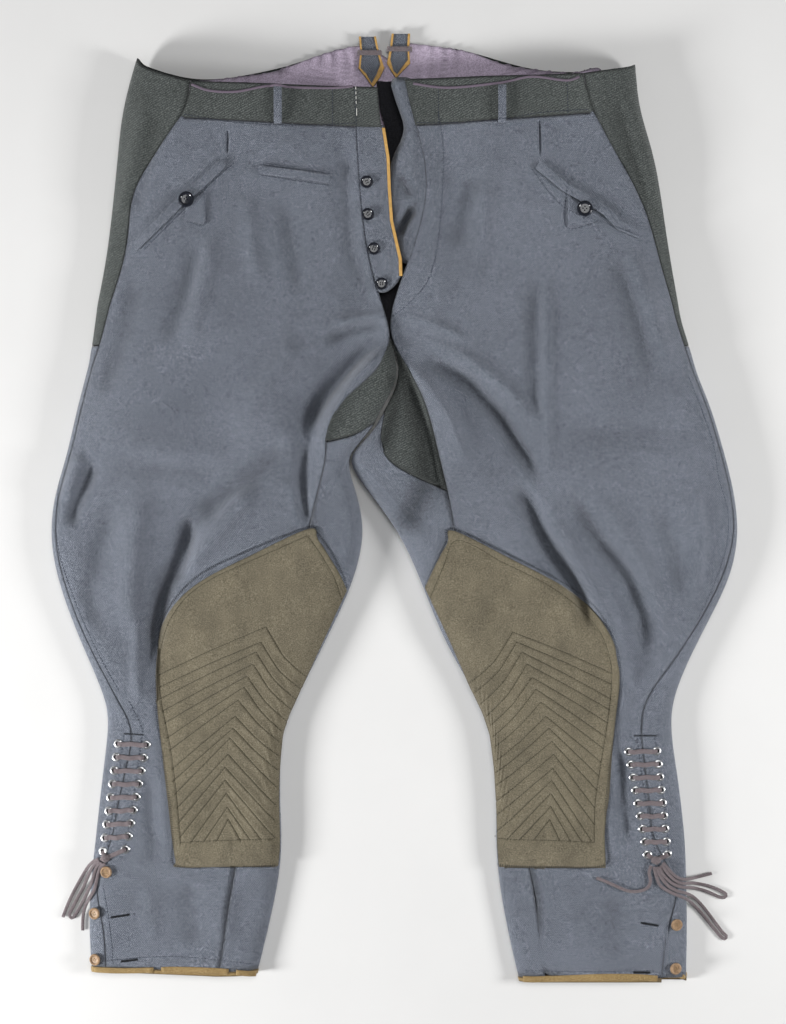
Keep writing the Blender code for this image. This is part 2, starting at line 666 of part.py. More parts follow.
def waistband_grid(leg, shares):
    """The front waistband, from the front panel's top edge to the band's own top edge."""
    first = leg.rows[0]
    grid = []
    for climb in (0.0, 0.5, 1.0):
        line = []
        for share in shares:
            low = mix(first.outseam, first.inseam, share) + SEAM_GAP
            high = mix(leg.hip_rise, leg.hip_rise - WAISTBAND_FALL, share)
            rise = mix(low, high, climb)
            s = section(leg, rise)
            gap = leg.way * SEAM_GAP / 2
            line.append(top_spot(leg, mix(s.outseam + gap, s.inseam - gap, share), rise))
        grid.append(line)
    return grid


def hem_grid(leg):
    """The binding under the hem, from the outseam round the back and over the front."""
    row = leg.rows[-1]
    lines = ([], [])
    for line, drop in zip(lines, (SEAM_GAP, SEAM_GAP + BINDING)):
        for stop in back_stops():
            line.append(stop_spot(leg, stop_rise(row, *stop) - drop, *stop))
        for share in FRONT_COLUMNS[-2::-1]:
            rise = mix(row.outseam, row.inseam, share) - drop
            s = section(leg, rise)
            gap = leg.way * SEAM_GAP / 2
            line.append(top_spot(leg, mix(s.outseam + gap, s.inseam - gap, share), rise))
    return lines


def outer_side(grids):
    """The facets that the pieces on top of the panels lie on."""
    points, facets = [], []
    for grid in grids:
        numbers = {}
        for i, row in enumerate(grid):
            for j, place in enumerate(row):
                if place:
                    numbers[i, j] = len(points)
                    points.append(place[0])
        for i in range(len(grid) - 1):
            for j in range(len(grid[0]) - 1):
                corners = ((i, j), (i, j + 1), (i + 1, j + 1), (i + 1, j))
                if all(corner in numbers for corner in corners):
                    facets.append([numbers[corner] for corner in corners])
    return BVHTree.FromPolygons(points, facets)


def resting(leg, x, rise):
    """A spot on the facets of the panels themselves."""
    point, normal = top_spot(leg, x, rise)
    hit = GROUND[leg.name].ray_cast(point + normal * REACH, -normal, 2 * REACH)[0]
    return (hit if hit is not None else point), normal


def laid(name, leg, lines, lift, thickness, finish, **more):
    """A piece that lies on the panels, through lines of x and rise."""
    grid = [[resting(leg, x, rise) for x, rise in line] for line in lines]
    return cloth(name, grid, lift, lambda i, j: depth_at(lift, i, j) + thickness, finish, **more)


def band(path, half_width):
    """Two lines on either side of a path, for a strip of even width."""
    left, right = [], []
    for number, (x, rise) in enumerate(path):
        before, after = path[max(0, number - 1)], path[min(len(path) - 1, number + 1)]
        run, climb = after[0] - before[0], after[1] - before[1]
        length = math.hypot(run, climb)
        step = (-climb / length * half_width, run / length * half_width)
        left.append((x + step[0], rise + step[1]))
        right.append((x - step[0], rise - step[1]))
    return [left, right]


def finer(path):
    """A path with one more point in the middle of each of its stretches."""
    points = [path[0]]
    for start, end in zip(path, path[1:]):
        points += [(mix(start[0], end[0], 0.5), mix(start[1], end[1], 0.5)), end]
    return points


def turned(name, profile, finish, point, normal, lift):
    """A button or bead: a profile of radius and height turned round its own axis."""
    bm = bmesh.new()
    verts = [bm.verts.new((radius * MM, 0, height * MM)) for radius, height in profile]
    for pair in zip(verts, verts[1:]):
        bm.edges.new(pair)
    mesh = bpy.data.meshes.new(name)
    bm.to_mesh(mesh)
    bm.free()
    piece = add_object(name, mesh, finish)
    screw = piece.modifiers.new("Screw", "SCREW")
    screw.steps = screw.render_steps = BUTTON_SIDES
    screw.use_merge_vertices = True
    screw.merge_threshold = 0.00001
    piece.location = placed(point + normal * lift)
    piece.rotation_euler = normal.to_track_quat("Z", "Y").to_euler()
    return piece


def button(name, leg, x, rise, radius, thickness, finish, lift):
    point, normal = resting(leg, x, rise)
    profile = (
        (0, thickness * 0.7), (radius * 0.55, thickness * 0.7), (radius * 0.75, thickness),
        (radius * 0.95, thickness * 0.85), (radius, thickness * 0.5), (radius * 0.8, 0), (0, 0),
    )
    return turned(name, profile, finish, point, normal, lift)


def smooth_route(points, count):
    """Points along one smooth curve through a route's own points."""
    lengths = [0.0]
    for start, end in zip(points, points[1:]):
        lengths.append(lengths[-1] + (Vector(end) - Vector(start)).length)
    columns = list(zip(*points))
    steps = [lengths[-1] * i / (count - 1) for i in range(count)]
    return [Vector([through(lengths, column, step) for column in columns]) for step in steps]


def tube(name, points, radius, finish, resolution=2):
    """A cord along points in garment millimetres."""
    curve = bpy.data.curves.new(name, "CURVE")
    curve.dimensions = "3D"
    curve.bevel_depth = radius * MM
    curve.bevel_resolution = resolution
    curve.use_fill_caps = True
    spline = curve.splines.new("POLY")
    spline.points.add(len(points) - 1)
    for knot, point in zip(spline.points, points):
        knot.co = (*placed(point), 1.0)
    return add_object(name, curve, finish)


GRIDS = {leg.name: (front_grid(leg), seat_grid(leg), back_grid(leg)) for leg in (LEFT, RIGHT)}
GROUND = {name: outer_side(grids) for name, grids in GRIDS.items()}


def panels(leg):
    front, seat, back = GRIDS[leg.name]
    made = [cloth(f"front_{leg.name}", front, -WALL, 0.0, "wool")]
    cloth(f"seat_{leg.name}", seat, -WALL, 0.0, "twill")
    made.append(cloth(f"back_{leg.name}", back, -WALL, 0.0, "wool"))
    cloth(f"hem_binding_{leg.name}", hem_grid(leg), -WALL, 0.0, "binding")
    return made


FRONT_L, BACK_L = panels(LEFT)
FRONT_R, BACK_R = panels(RIGHT)
cloth("waistband_l", waistband_grid(LEFT, FRONT_COLUMNS + (1.07, 1.14)), -WALL, 0.0, "twill")
cloth("waistband_r", waistband_grid(RIGHT, FRONT_COLUMNS), -WALL, 0.0, "twill")


def side_x(line, rise):
    return through([place[0] for place in line], [place[1] for place in line], rise)


def chevron(leg, patch, number):
    """One row of the patch, sewn in a V upside down, as points of x and rise."""
    outer = patch.first_outer - patch.outer_step * number
    inner = patch.first_inner - patch.inner_step * number
    apex = FIRST_APEX - APEX_STEP * number
    outer_rises = (outer, outer, mix(outer, apex, 1 / 3), mix(outer, apex, 2 / 3), apex)
    line = [(side_x(patch.outer_edge, outer), outer)]
    for rise, share in zip(outer_rises[1:], (0, 1 / 3, 2 / 3, 1)):
        line.append((mix(side_x(patch.outer_stitch, rise), side_x(patch.apex_line, rise), share), rise))
    for share, turn in PATCH_INNER_COLUMNS:
        rise = mix(apex, inner, share)
        s = section(leg, rise)
        x = ring(leg, rise, mix(3.0, around_at(leg, s, s.inseam), min(1.0, turn))).x
        line.append((mix(x, side_x(patch.apex_line, rise), max(0.0, turn - 1.0)), rise))
    return line


def knee_patch(leg, patch):
    first = chevron(leg, patch, 0)
    lines = []
    for step in range(ARCH_ROWS):
        share = step / ARCH_ROWS
        lines.append([(mix(a[0], c[0], share), mix(a[1], c[1], share)) for a, c in zip(patch.arch, first)])
    for half in range(2 * CHEVRONS):
        lines.append(chevron(leg, patch, half / 2))
    for number in range(CHEVRONS, CHEVRONS + FOOT_ROWS):
        lines.append(chevron(leg, patch, number))

    def lift(i, j):
        return LAY_GAP + PATCH_ROLL_LIFT

    def thickness(i, j):
        ridge = (i - ARCH_ROWS) % 2 == 1 and 0 < i - ARCH_ROWS and 1 < j < len(patch.arch) - 2
        return lift(i, j) + SUEDE + (QUILT_RISE if ridge and lines[i][j][1] > QUILT_FOOT else 0.0)

    grid = [[resting(leg, x, rise) for x, rise in line] for line in lines]
    return cloth(f"knee_patch_{leg.name}", grid, lift, thickness, "suede", cut_rise=patch.foot)


def lining(leg):
    """The back lining that shows above the front waistband, on the inside of the back."""
    keys = [place[0] for place in leg.back_edge]
    edges = [place[1] for place in leg.back_edge]
    start, end = (keys[0] + LINING_INSET, keys[-1] - SEAM_GAP) if leg is LEFT else (
        keys[-1] - LINING_INSET, keys[0] + SEAM_GAP)
    lines = []
    for share in (0.0, 0.5, 1.0):
        line = []
        for step in range(LINING_CELLS + 1):
            x = mix(start, end, step / LINING_CELLS)
            line.append((x, mix(through(keys, edges, x) - 1.0, LINING_FOOT, share)))
        lines.append(line)
    up = Vector((0, 0, 1))
    grid = [[(Vector((x, rise, WALL)), up) for x, rise in line] for line in lines]
    cloth(f"lining_{leg.name}", grid, SEAM_GAP, SEAM_GAP + LINING, "lining")


def back_tab(leg, outline, keeper_rise):
    """A brace tab of the back waist, with a leather edging and the loop that keeps it."""
    up = Vector((0, 0, 1))
    base = WALL + LINING + 2 * SEAM_GAP
    grid = [[(Vector((x, rise, base)), up) for x in (left, mix(left, right, 0.5), right)]
            for rise, left, right in outline]
    cloth(f"tab_{leg.name}", grid, 0.0, TAB_CLOTH, "wool")
    edge = [(left, rise) for rise, left, right in outline[:-1]]
    edge.append((mix(outline[-1][1], outline[-1][2], 0.5), outline[-1][0]))
    edge += [(right, rise) for rise, left, right in outline[-2::-1]]
    middle = [(mix(x, mix(outline[0][1], outline[0][2], 0.5), EDGING_SHARE), rise + (
        EDGING if 0 < number < len(edge) - 1 and abs(x - edge[0][0]) > 1.5 else 0.0))
        for number, (x, rise) in enumerate(edge)]
    lines = [[(Vector((x, rise, base + TAB_CLOTH)), up) for x, rise in line] for line in (edge, middle)]
    cloth(f"tab_edge_{leg.name}", lines, SEAM_GAP, SEAM_GAP + LEATHER, "leather")
    left, right = outline[1][1] - KEEPER_ROOM, outline[1][2] + KEEPER_ROOM
    height = TAB_CLOTH + LEATHER + 2 * SEAM_GAP
    loop = [[(Vector((x, rise, base + height - drop)), up) for x, drop in (
        (left - 1.2, KEEPER_DROP), (left, 0.0), (right, 0.0), (right + 1.2, KEEPER_DROP))]
        for rise in (keeper_rise - 2.6, keeper_rise + 2.6)]
    cloth(f"tab_keeper_{leg.name}", loop, 0.0, LINING, "lining")


def belt_loop(leg, x):
    """A loop of wool that stands off the waistband in the middle."""
    rises = [mix(LOOP_FOOT, LOOP_HEAD, share) for share in (0, 0.12, 0.35, 0.65, 0.88, 1)]
    lines = [[(x - LOOP_HALF, rise), (x + LOOP_HALF, rise)] for rise in rises]
    arch = (0.0, 1.6, 2.4, 2.4, 1.6, 0.0)
    return laid(f"belt_loop_{leg.name}", leg, lines, lambda i, j: LAY_GAP + arch[i], 1.6, "wool")


def fly():
    stand = [[(left, rise), (mix(left, right, 0.5), rise), (right, rise)] for rise, left, right in STAND_LINE]
    grid = [[torso_spot(LEFT, x, rise) for x, rise in line] for line in stand]
    cloth("fly_stand", grid, -WALL, 0.0, "wool")
    trim = [[(right + SEAM_GAP, rise), (right + SEAM_GAP + 2 * TRIM_HALF, rise)] for rise, _, right in STAND_LINE[:-1]]
    grid = [[torso_spot(LEFT, x, rise) for x, rise in line] for line in trim]
    cloth("fly_trim", grid, -WALL, 0.4, "leather")
    fold = [[(left, rise), (mix(left, right, 0.5), rise), (right, rise)] for rise, left, right in FACING_LINE]
    grid = [[torso_spot(RIGHT, x, rise) for x, rise in line] for line in fold]
    cloth("fly_facing", grid, -WALL - FACING_DROP, -FACING_DROP, "wool")
    for number, (x, rise) in enumerate(FLY_BUTTONS):
        point, normal = torso_spot(LEFT, x, rise)
        profile = ((0, 2.0), (3.6, 2.0), (5.0, 3.0), (6.4, 2.6), (6.8, 1.4), (5.6, 0), (0, 0))
        turned(f"fly_button_{number + 1}", profile, "black_button", point, normal, LAY_GAP)


def pockets():
    for leg, welt, tab, spot_x, spot_rise in (
        (LEFT, LEFT_WELT, LEFT_POCKET_TAB, -215.8, 820.0),
        (RIGHT, RIGHT_WELT, RIGHT_POCKET_TAB, 197.5, 810.6),
    ):
        laid(f"pocket_welt_{leg.name}", leg, band(finer(welt), 4.8), WELT_LIFT, 1.5, "wool")
        laid(f"pocket_tab_{leg.name}", leg, tab, LAY_GAP, 1.5, "wool")
        button(f"pocket_button_{leg.name}", leg, spot_x, spot_rise, 8.4, 3.4, "black_button", 3.4)
    laid("watch_welt", LEFT, band(finer(finer(WATCH_WELT)), 4.4), WELT_LIFT, 1.3, "wool")


def eyelet(leg, first, last, row):
    share = row / (LACE_ROWS - 1)
    return resting(leg, mix(first[0], last[0], share), mix(first[1], last[1], share))


def punch(panel, leg, first, last, name):
    """Cuts one column of eyelet holes through a panel."""
    bm = bmesh.new()
    for row in range(LACE_ROWS):
        point, normal = eyelet(leg, first, last, row)
        matrix = normal.to_track_quat("Z", "Y").to_matrix().to_4x4()
        matrix.translation = placed(point)
        bmesh.ops.create_cone(bm, cap_ends=True, segments=8, radius1=EYELET_HOLE * MM,
                              radius2=EYELET_HOLE * MM, depth=4 * WALL * MM, matrix=matrix)
    mesh = bpy.data.meshes.new(name)
    bm.to_mesh(mesh)
    bm.free()
    cutter = add_object(name, mesh, None, "cutters")
    cutter.hide_render = True
    cutter.display_type = "WIRE"
    cut = panel.modifiers.new("Eyelets", "BOOLEAN")
    cut.operation = "DIFFERENCE"
    cut.object = cutter


def lace_route(leg, lacing):
    """One lace: across on top at each row, down through the eyelet and on to the next row,
    with its other end run back under the edge column to the last row."""
    edge = [eyelet(leg, lacing.edge_first, lacing.edge_last, row) for row in range(LACE_ROWS)]
    front = [eyelet(leg, lacing.front_first, lacing.front_last, row) for row in range(LACE_ROWS)]
    above, below = LAY_GAP + LACE_RADIUS, -(WALL + LAY_GAP + LACE_RADIUS)
    inward = Vector((leg.way, 0, 0))

    def tail(end):
        point, normal = resting(leg, *end)
        return point + normal * (above + 0.4)

    def toward(end, place):
        return Vector((end[0] - place[0].x, end[1] - place[0].y, 0)).normalized()

    def dive(place, side, climb):
        point, normal = place
        return [point + normal * above + side * 1.9, point + normal * (above - 1.0) + side * 0.3,
                point + normal * (below + 1.0), point + normal * below + climb * 1.9]

    up, down = Vector((0, 1, 0)), Vector((0, -1, 0))
    route = [tail(lacing.edge_tail)] + dive(edge[-1], toward(lacing.edge_tail, edge[-1]), up)
    for row in range(LACE_ROWS - 2, 0, -1):
        point, normal = edge[row]
        route.append(point + normal * (below - LACE_RADIUS) + inward * SIDE_RUN)
    route += dive(edge[0], inward, down)[::-1]
    across = True
    for row in range(LACE_ROWS - 1):
        near = front if across else edge
        side = -inward if across else inward
        centre = mix(edge[row][0], front[row][0], 0.5).xy
        point, normal = resting(leg, *centre)
        route.append(point + normal * (above + 0.6))
        route += dive(near[row], side, down)
        if row < LACE_ROWS - 2:
            route += dive(near[row + 1], side, up)[::-1]
        across = not across
    route += dive(front[-1], toward(lacing.front_tail, front[-1]), up)[::-1]
    half_way = (mix(front[-1][0].x, lacing.front_tail[0], 0.5), mix(front[-1][0].y, lacing.front_tail[1], 0.5))
    return route + [tail(half_way), tail(lacing.front_tail)]


def calf_opening(leg, lacing, front, back):
    punch(back, leg, lacing.edge_first, lacing.edge_last, f"edge_holes_{leg.name}")
    punch(front, leg, lacing.front_first, lacing.front_last, f"front_holes_{leg.name}")
    tube(f"lacing_{leg.name}", lace_route(leg, lacing), LACE_RADIUS, "lace", resolution=0)
    point, normal = resting(leg, *lacing.knot)
    middle = point + normal * (LAY_GAP + KNOT_SIZE[2])
    bm = bmesh.new()
    bmesh.ops.create_uvsphere(bm, u_segments=10, v_segments=6, radius=MM)
    bmesh.ops.scale(bm, vec=KNOT_SIZE, verts=bm.verts)
    bmesh.ops.translate(bm, vec=placed(middle), verts=bm.verts)
    finish_mesh(f"lace_knot_{leg.name}", bm, "lace", 180.0)


knee_patch(LEFT, LEFT_PATCH)
knee_patch(RIGHT, RIGHT_PATCH)
lining(LEFT)
lining(RIGHT)
back_tab(LEFT, LEFT_TAB, 979.0)
back_tab(RIGHT, RIGHT_TAB, 983.0)
belt_loop(LEFT, -121.3)
belt_loop(RIGHT, 111.8)
fly()
pockets()
calf_opening(LEFT, LEFT_LACING, FRONT_L, BACK_L)
calf_opening(RIGHT, RIGHT_LACING, FRONT_R, BACK_R)
for title, (leg, x, rise) in LEG_BUTTONS.items():
    button(title, leg, x, rise, 5.9, 3.0, "horn_button", 2 * LAY_GAP)
for title, route in LACE_ENDS.items():
    tube(title, smooth_route(route, LACE_END_POINTS * (2 if "loop" in title else 1)), LACE_RADIUS, "lace")
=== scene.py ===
"""Looks of the riding breeches: cloth panels, quilting, stitches, buttons, eyelets and laces.

Places are given as columns and rows of the camera's view, which is 786 wide and 1024 high
and shows the garment from straight above. One step of it is 1.05 mm on the floor.
"""
import math

import bmesh
import bpy
import numpy as np
from mathutils import Matrix, Vector, noise
from mathutils.kdtree import KDTree


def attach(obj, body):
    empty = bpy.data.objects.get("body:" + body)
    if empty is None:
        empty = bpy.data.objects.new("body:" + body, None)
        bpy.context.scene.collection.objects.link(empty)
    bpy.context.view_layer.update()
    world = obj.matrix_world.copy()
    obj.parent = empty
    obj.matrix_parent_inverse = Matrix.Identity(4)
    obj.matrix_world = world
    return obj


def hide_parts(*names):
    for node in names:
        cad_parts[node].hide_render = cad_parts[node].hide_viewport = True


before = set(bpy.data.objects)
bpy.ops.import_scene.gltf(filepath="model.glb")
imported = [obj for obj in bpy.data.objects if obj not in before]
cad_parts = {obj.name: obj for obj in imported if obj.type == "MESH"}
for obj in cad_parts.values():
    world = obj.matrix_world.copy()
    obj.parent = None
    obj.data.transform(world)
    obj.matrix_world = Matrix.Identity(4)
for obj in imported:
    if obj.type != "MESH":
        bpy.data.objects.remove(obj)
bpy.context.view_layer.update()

MM = 0.001
VIEW_STEP = 1.05 * MM
VIEW_MIDDLE = 394.5
VIEW_HEM = 984.0
VIEW_ROWS = 1024
CAMERA_HEIGHT = 2.0
CLOTH_HEIGHT = 0.012
MIDDLE_X = 0.10 * MM
MIDDLE_RISE = 500.85 * MM


def at(column, row):
    """A place in the view, in the frame's metres."""
    return (column - VIEW_MIDDLE) * VIEW_STEP - MIDDLE_X, (VIEW_HEM - row) * VIEW_STEP - MIDDLE_RISE


def sewn_at(x, rise):
    """A place from the pattern's own millimetres, in the frame's metres."""
    return x * MM - MIDDLE_X, rise * MM - MIDDLE_RISE


# The camera looks straight down, so that its frame holds the floor as the photo shows it
camera_data = bpy.data.cameras.new("camera")
camera = bpy.data.objects.new("camera", camera_data)
bpy.context.scene.collection.objects.link(camera)
camera.location = (*at(393, 512), CAMERA_HEIGHT)
camera_data.lens = camera_data.sensor_width * (CAMERA_HEIGHT - CLOTH_HEIGHT) / (VIEW_ROWS * VIEW_STEP)
bpy.context.scene.camera = camera
bpy.context.scene.view_settings.view_transform = "Standard"


# ---- laces that lie free: x, rise and height in millimetres, as the pattern has them
LACE_WIDTH = 3.4
LACE_THICKNESS = 1.2
LACE_STEP = 2.2
LACE_CORNERS = 10
CURVE_STEPS = 12
LACE_ENDS = {
    "lace_end_l1": (80, "bare", (
        (-309.8, 131.6, 15.0), (-314.5, 129.8, 12.8), (-320.5, 124.5, 8.0), (-326, 117, 3.2),
        (-332.5, 106, 1.4),
        (-339, 94, 1.4), (-345, 81, 1.4), (-350, 68, 1.4),
    )),
    "lace_loop_l": (151, "object", (
        (-308.3, 129.2, 15.2), (-313.5, 127, 13.2), (-319, 119.5, 9.6), (-323.5, 110.5, 5.0),
        (-328, 100, 1.8),
        (-334, 89, 1.4), (-339.5, 78.5, 1.4), (-343, 70.5, 1.4), (-340, 67, 1.4), (-334.5, 74, 1.4),
        (-328.5, 85, 1.6), (-322.8, 96.5, 5.8), (-317.9, 107, 11.2), (-314.6, 117.5, 13.0),
        (-311.4, 124.6, 14.3), (-305.9, 127.6, 16.0),
    )),
    "lace_end_l2": (83, "bare", (
        (-303, 127.2, 16.6), (-307.8, 123.6, 15.4), (-310.2, 118, 14.8), (-312.3, 110, 14.3),
        (-314.7, 100, 13.7),
        (-319.7, 91, 11.4), (-325, 82, 5.4), (-328.5, 70, 1.8), (-329.2, 54, 1.4),
    )),
    "lace_end_r1": (66, "bare", (
        (280.9, 128.3, 17.9), (286.5, 122, 17.2), (292.5, 115.5, 16.5), (299, 111.3, 15.0),
        (306, 109.7, 11.6),
        (312.5, 109.7, 6.0), (320, 110.5, 1.8), (335, 114.2, 1.4),
    )),
    "lace_loop_r1": (178, "object", (
        (279.3, 125.9, 18.0), (284, 119.5, 17.4), (291, 112, 16.8), (298, 107.3, 15.5),
        (304.5, 105.6, 12.6),
        (311.5, 105, 6.6), (319, 103.7, 2.0), (332, 100.8, 1.4), (345, 95.5, 1.4), (350.3, 91.5, 1.4),
        (345.5, 88.5, 1.4), (330, 95, 1.4), (319.5, 98.2, 1.8), (311.8, 100.2, 6.4), (304.5, 101.4, 12.4),
        (297, 103.6, 15.8), (289.5, 107.6, 17.2), (281.5, 115.5, 17.8), (276.9, 124.4, 18.2),
    )),
    "lace_loop_r2": (237, "object", (
        (274.2, 123.9, 18.2), (278.8, 113.5, 18.0), (286.5, 104.3, 17.6), (295, 99, 16.1),
        (303, 96.4, 13.4),
        (309.5, 93.3, 8.0), (316, 89, 3.0), (324, 81, 1.4), (334, 68.5, 1.4), (345, 53.5, 1.4),
        (350.5, 47.6, 1.4), (346.8, 45.3, 1.4), (338, 55, 1.4), (328, 67.5, 1.4), (318.5, 78.2, 1.8),
        (311.5, 85, 6.0), (305, 90, 12.0), (297, 93.8, 15.2), (287, 98.5, 17.4), (277, 106.5, 18.0),
        (271.4, 124.3, 18.5),
    )),
    "lace_end_r2": (82, "bare", (
        (268.6, 125.6, 18.4), (266.5, 118, 18.2), (268, 110, 18.0), (265.5, 103, 17.9), (258, 99, 17.8),
        (246, 98.5, 17.8), (234, 103, 17.9), (222, 108.5, 18.0), (211.5, 112.5, 18.1),
    )),
}


def evenly(points, spacing):
    """A smooth line through the points, cut into even steps."""
    fine = []
    for i in range(len(points) - 1):
        before = points[max(i - 1, 0)]
        a, b = points[i], points[i + 1]
        after = points[min(i + 2, len(points) - 1)]
        for step in range(CURVE_STEPS):
            t = step / CURVE_STEPS
            fine.append(0.5 * (2 * a + (b - before) * t + (2 * before - 5 * a + 4 * b - after) * t ** 2
                               + (3 * a - before - 3 * b + after) * t ** 3))
    fine.append(points[-1])
    walked = [0.0]
    for a, b in zip(fine, fine[1:]):
        walked.append(walked[-1] + (b - a).length)
    count = max(4, round(walked[-1] / spacing))
    line, i = [], 0
    for step in range(count + 1):
        goal = walked[-1] * step / count
        while i < len(fine) - 2 and walked[i + 1] < goal:
            i += 1
        span = walked[i + 1] - walked[i] or 1.0
        line.append(fine[i].lerp(fine[i + 1], min(1.0, max(0.0, (goal - walked[i]) / span))))
    return line


def ribbon(title, line, width, thickness, finish, side=None, narrow=None):
    """A flat strip along a line, its broad side up, rounded at its two edges."""
    bm = bmesh.new()
    rings = []
    for i, point in enumerate(line):
        tangent = (line[min(i + 1, len(line) - 1)] - line[max(i - 1, 0)]).normalized()
        across = side.copy() if side else tangent.cross(Vector((0, 0, 1)))
        across = (across - tangent * across.dot(tangent)).normalized()
        lift = across.cross(tangent).normalized()
        half = width / 2 * (narrow(i / (len(line) - 1)) if narrow else 1.0)
        ring = []
        for turn in range(LACE_CORNERS):
            angle = 2 * math.pi * turn / LACE_CORNERS
            x = math.copysign(abs(math.cos(angle)) ** 0.6, math.cos(angle)) * half
            y = math.copysign(abs(math.sin(angle)) ** 0.8, math.sin(angle)) * thickness / 2
            ring.append(bm.verts.new(point + across * x + lift * y))
        rings.append(ring)
    for a, b in zip(rings, rings[1:]):
        for k in range(LACE_CORNERS):
            following = (k + 1) % LACE_CORNERS
            bm.faces.new((a[k], a[following], b[following], b[k]))
    bm.faces.new(rings[0][::-1])
    bm.faces.new(rings[-1])
    bmesh.ops.recalc_face_normals(bm, faces=bm.faces)
    mesh = bpy.data.meshes.new(title)
    bm.to_mesh(mesh)
    bm.free()
    mesh.materials.append(finish)
    mesh.shade_smooth()
    piece = bpy.data.objects.new(title, mesh)
    bpy.context.scene.collection.objects.link(piece)
    return piece


def free_lace(name, finish):
    """One loose end or loop of the lace, on its route."""
    length, far_end, route = LACE_ENDS[name]
    points = [Vector((*sewn_at(x, rise), z * MM)) for x, rise, z in route]
    line = evenly(points, LACE_STEP * MM)
    piece = ribbon(f"{name}_flat", line, LACE_WIDTH * MM, LACE_THICKNESS * MM, finish)
    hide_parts(name)
    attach(piece, "root")
    return piece


# ---- finishes
def node(tree, kind, **values):
    """A new shader node with its sockets set by name, a space written as an underscore."""
    made = tree.nodes.new(kind)
    for key, value in values.items():
        made.inputs[key.replace("_", " ")].default_value = value
    return made


def shaded(tree, first, second, share, mode="MIX"):
    """A colour mixed from two, by a share that is a number or a socket."""
    mixed = tree.nodes.new("ShaderNodeMix")
    mixed.data_type = "RGBA"
    mixed.blend_type = mode
    for index, value in ((0, share), (6, first), (7, second)):
        if isinstance(value, bpy.types.NodeSocket):
            tree.links.new(value, mixed.inputs[index])
        else:
            mixed.inputs[index].default_value = value
    return mixed.outputs[2]


def stops(tree, socket, *marks):
    """A ramp of (place, colour or grey) stops."""
    ramp = tree.nodes.new("ShaderNodeValToRGB")
    tree.links.new(socket, ramp.inputs[0])
    while len(ramp.color_ramp.elements) < len(marks):
        ramp.color_ramp.elements.new(0.5)
    for element, (place, colour) in zip(ramp.color_ramp.elements, marks):
        element.position = place
        element.color = (*colour, 1.0) if isinstance(colour, tuple) else (colour, colour, colour, 1.0)
    return ramp.outputs[0]


def grain(tree, coordinates, size_mm, detail, stretch=(1, 1, 1)):
    """Uneven patches of about the given size."""
    mapping = node(tree, "ShaderNodeMapping", Scale=stretch)
    tree.links.new(coordinates, mapping.inputs["Vector"])
    texture = node(tree, "ShaderNodeTexNoise", Scale=1.0 / (size_mm * MM), Detail=detail, Roughness=0.62)
    tree.links.new(mapping.outputs[0], texture.inputs["Vector"])
    return texture.outputs["Fac"]


def ribs(tree, coordinates, period_mm, turn, distortion):
    """Straight ribs of a weave, a period apart, turned on the cloth and a little uneven."""
    mapping = node(tree, "ShaderNodeMapping", Rotation=(0, 0, math.radians(turn)))
    tree.links.new(coordinates, mapping.inputs["Vector"])
    wave = node(tree, "ShaderNodeTexWave", Scale=math.pi / (10 * period_mm * MM), Distortion=distortion,
                Detail_Scale=1.5)
    tree.links.new(mapping.outputs[0], wave.inputs["Vector"])
    return wave.outputs["Fac"]


def new_finish(name, roughness, sheen=0.0, metallic=0.0):
    """A material with its shader, and the object's own coordinates for its patterns."""
    finish = bpy.data.materials.new(name)
    finish.use_nodes = True
    shader = finish.node_tree.nodes["Principled BSDF"]
    shader.inputs["Roughness"].default_value = roughness
    shader.inputs["Metallic"].default_value = metallic
    if sheen:
        shader.inputs["Sheen Weight"].default_value = sheen
        shader.inputs["Sheen Roughness"].default_value = 0.5
    shader.inputs["Specular IOR Level"].default_value = 0.25 if not metallic else 0.5
    coordinates = finish.node_tree.nodes.new("ShaderNodeTexCoord").outputs["Object"]
    return finish, finish.node_tree, shader, coordinates


def raised(tree, shader, socket, strength, depth_mm):
    """Lets a pattern stand up from the surface."""
    bump = node(tree, "ShaderNodeBump", Strength=strength, Distance=depth_mm * MM)
    tree.links.new(socket, bump.inputs["Height"])
    tree.links.new(bump.outputs[0], shader.inputs["Normal"])


def scaled(tree, socket, share):
    """A socket's value times a number."""
    product = tree.nodes.new("ShaderNodeMath")
    product.operation = "MULTIPLY"
    product.inputs[1].default_value = share
    tree.links.new(socket, product.inputs[0])
    return product.outputs[0]


def with_painted_shade(tree, colour, least):
    """A colour darkened by painted shade where the piece's shade attribute says so, down to the least share.
    """
    edge = tree.nodes.new("ShaderNodeAttribute")
    edge.attribute_name = "shade"
    return shaded(tree, colour, stops(tree, edge.outputs["Fac"], (0.0, 1.0), (1.0, least)), 1.0, "MULTIPLY")


FLECK_SHARE = 0.45
BLOTCH_MM = 90.0


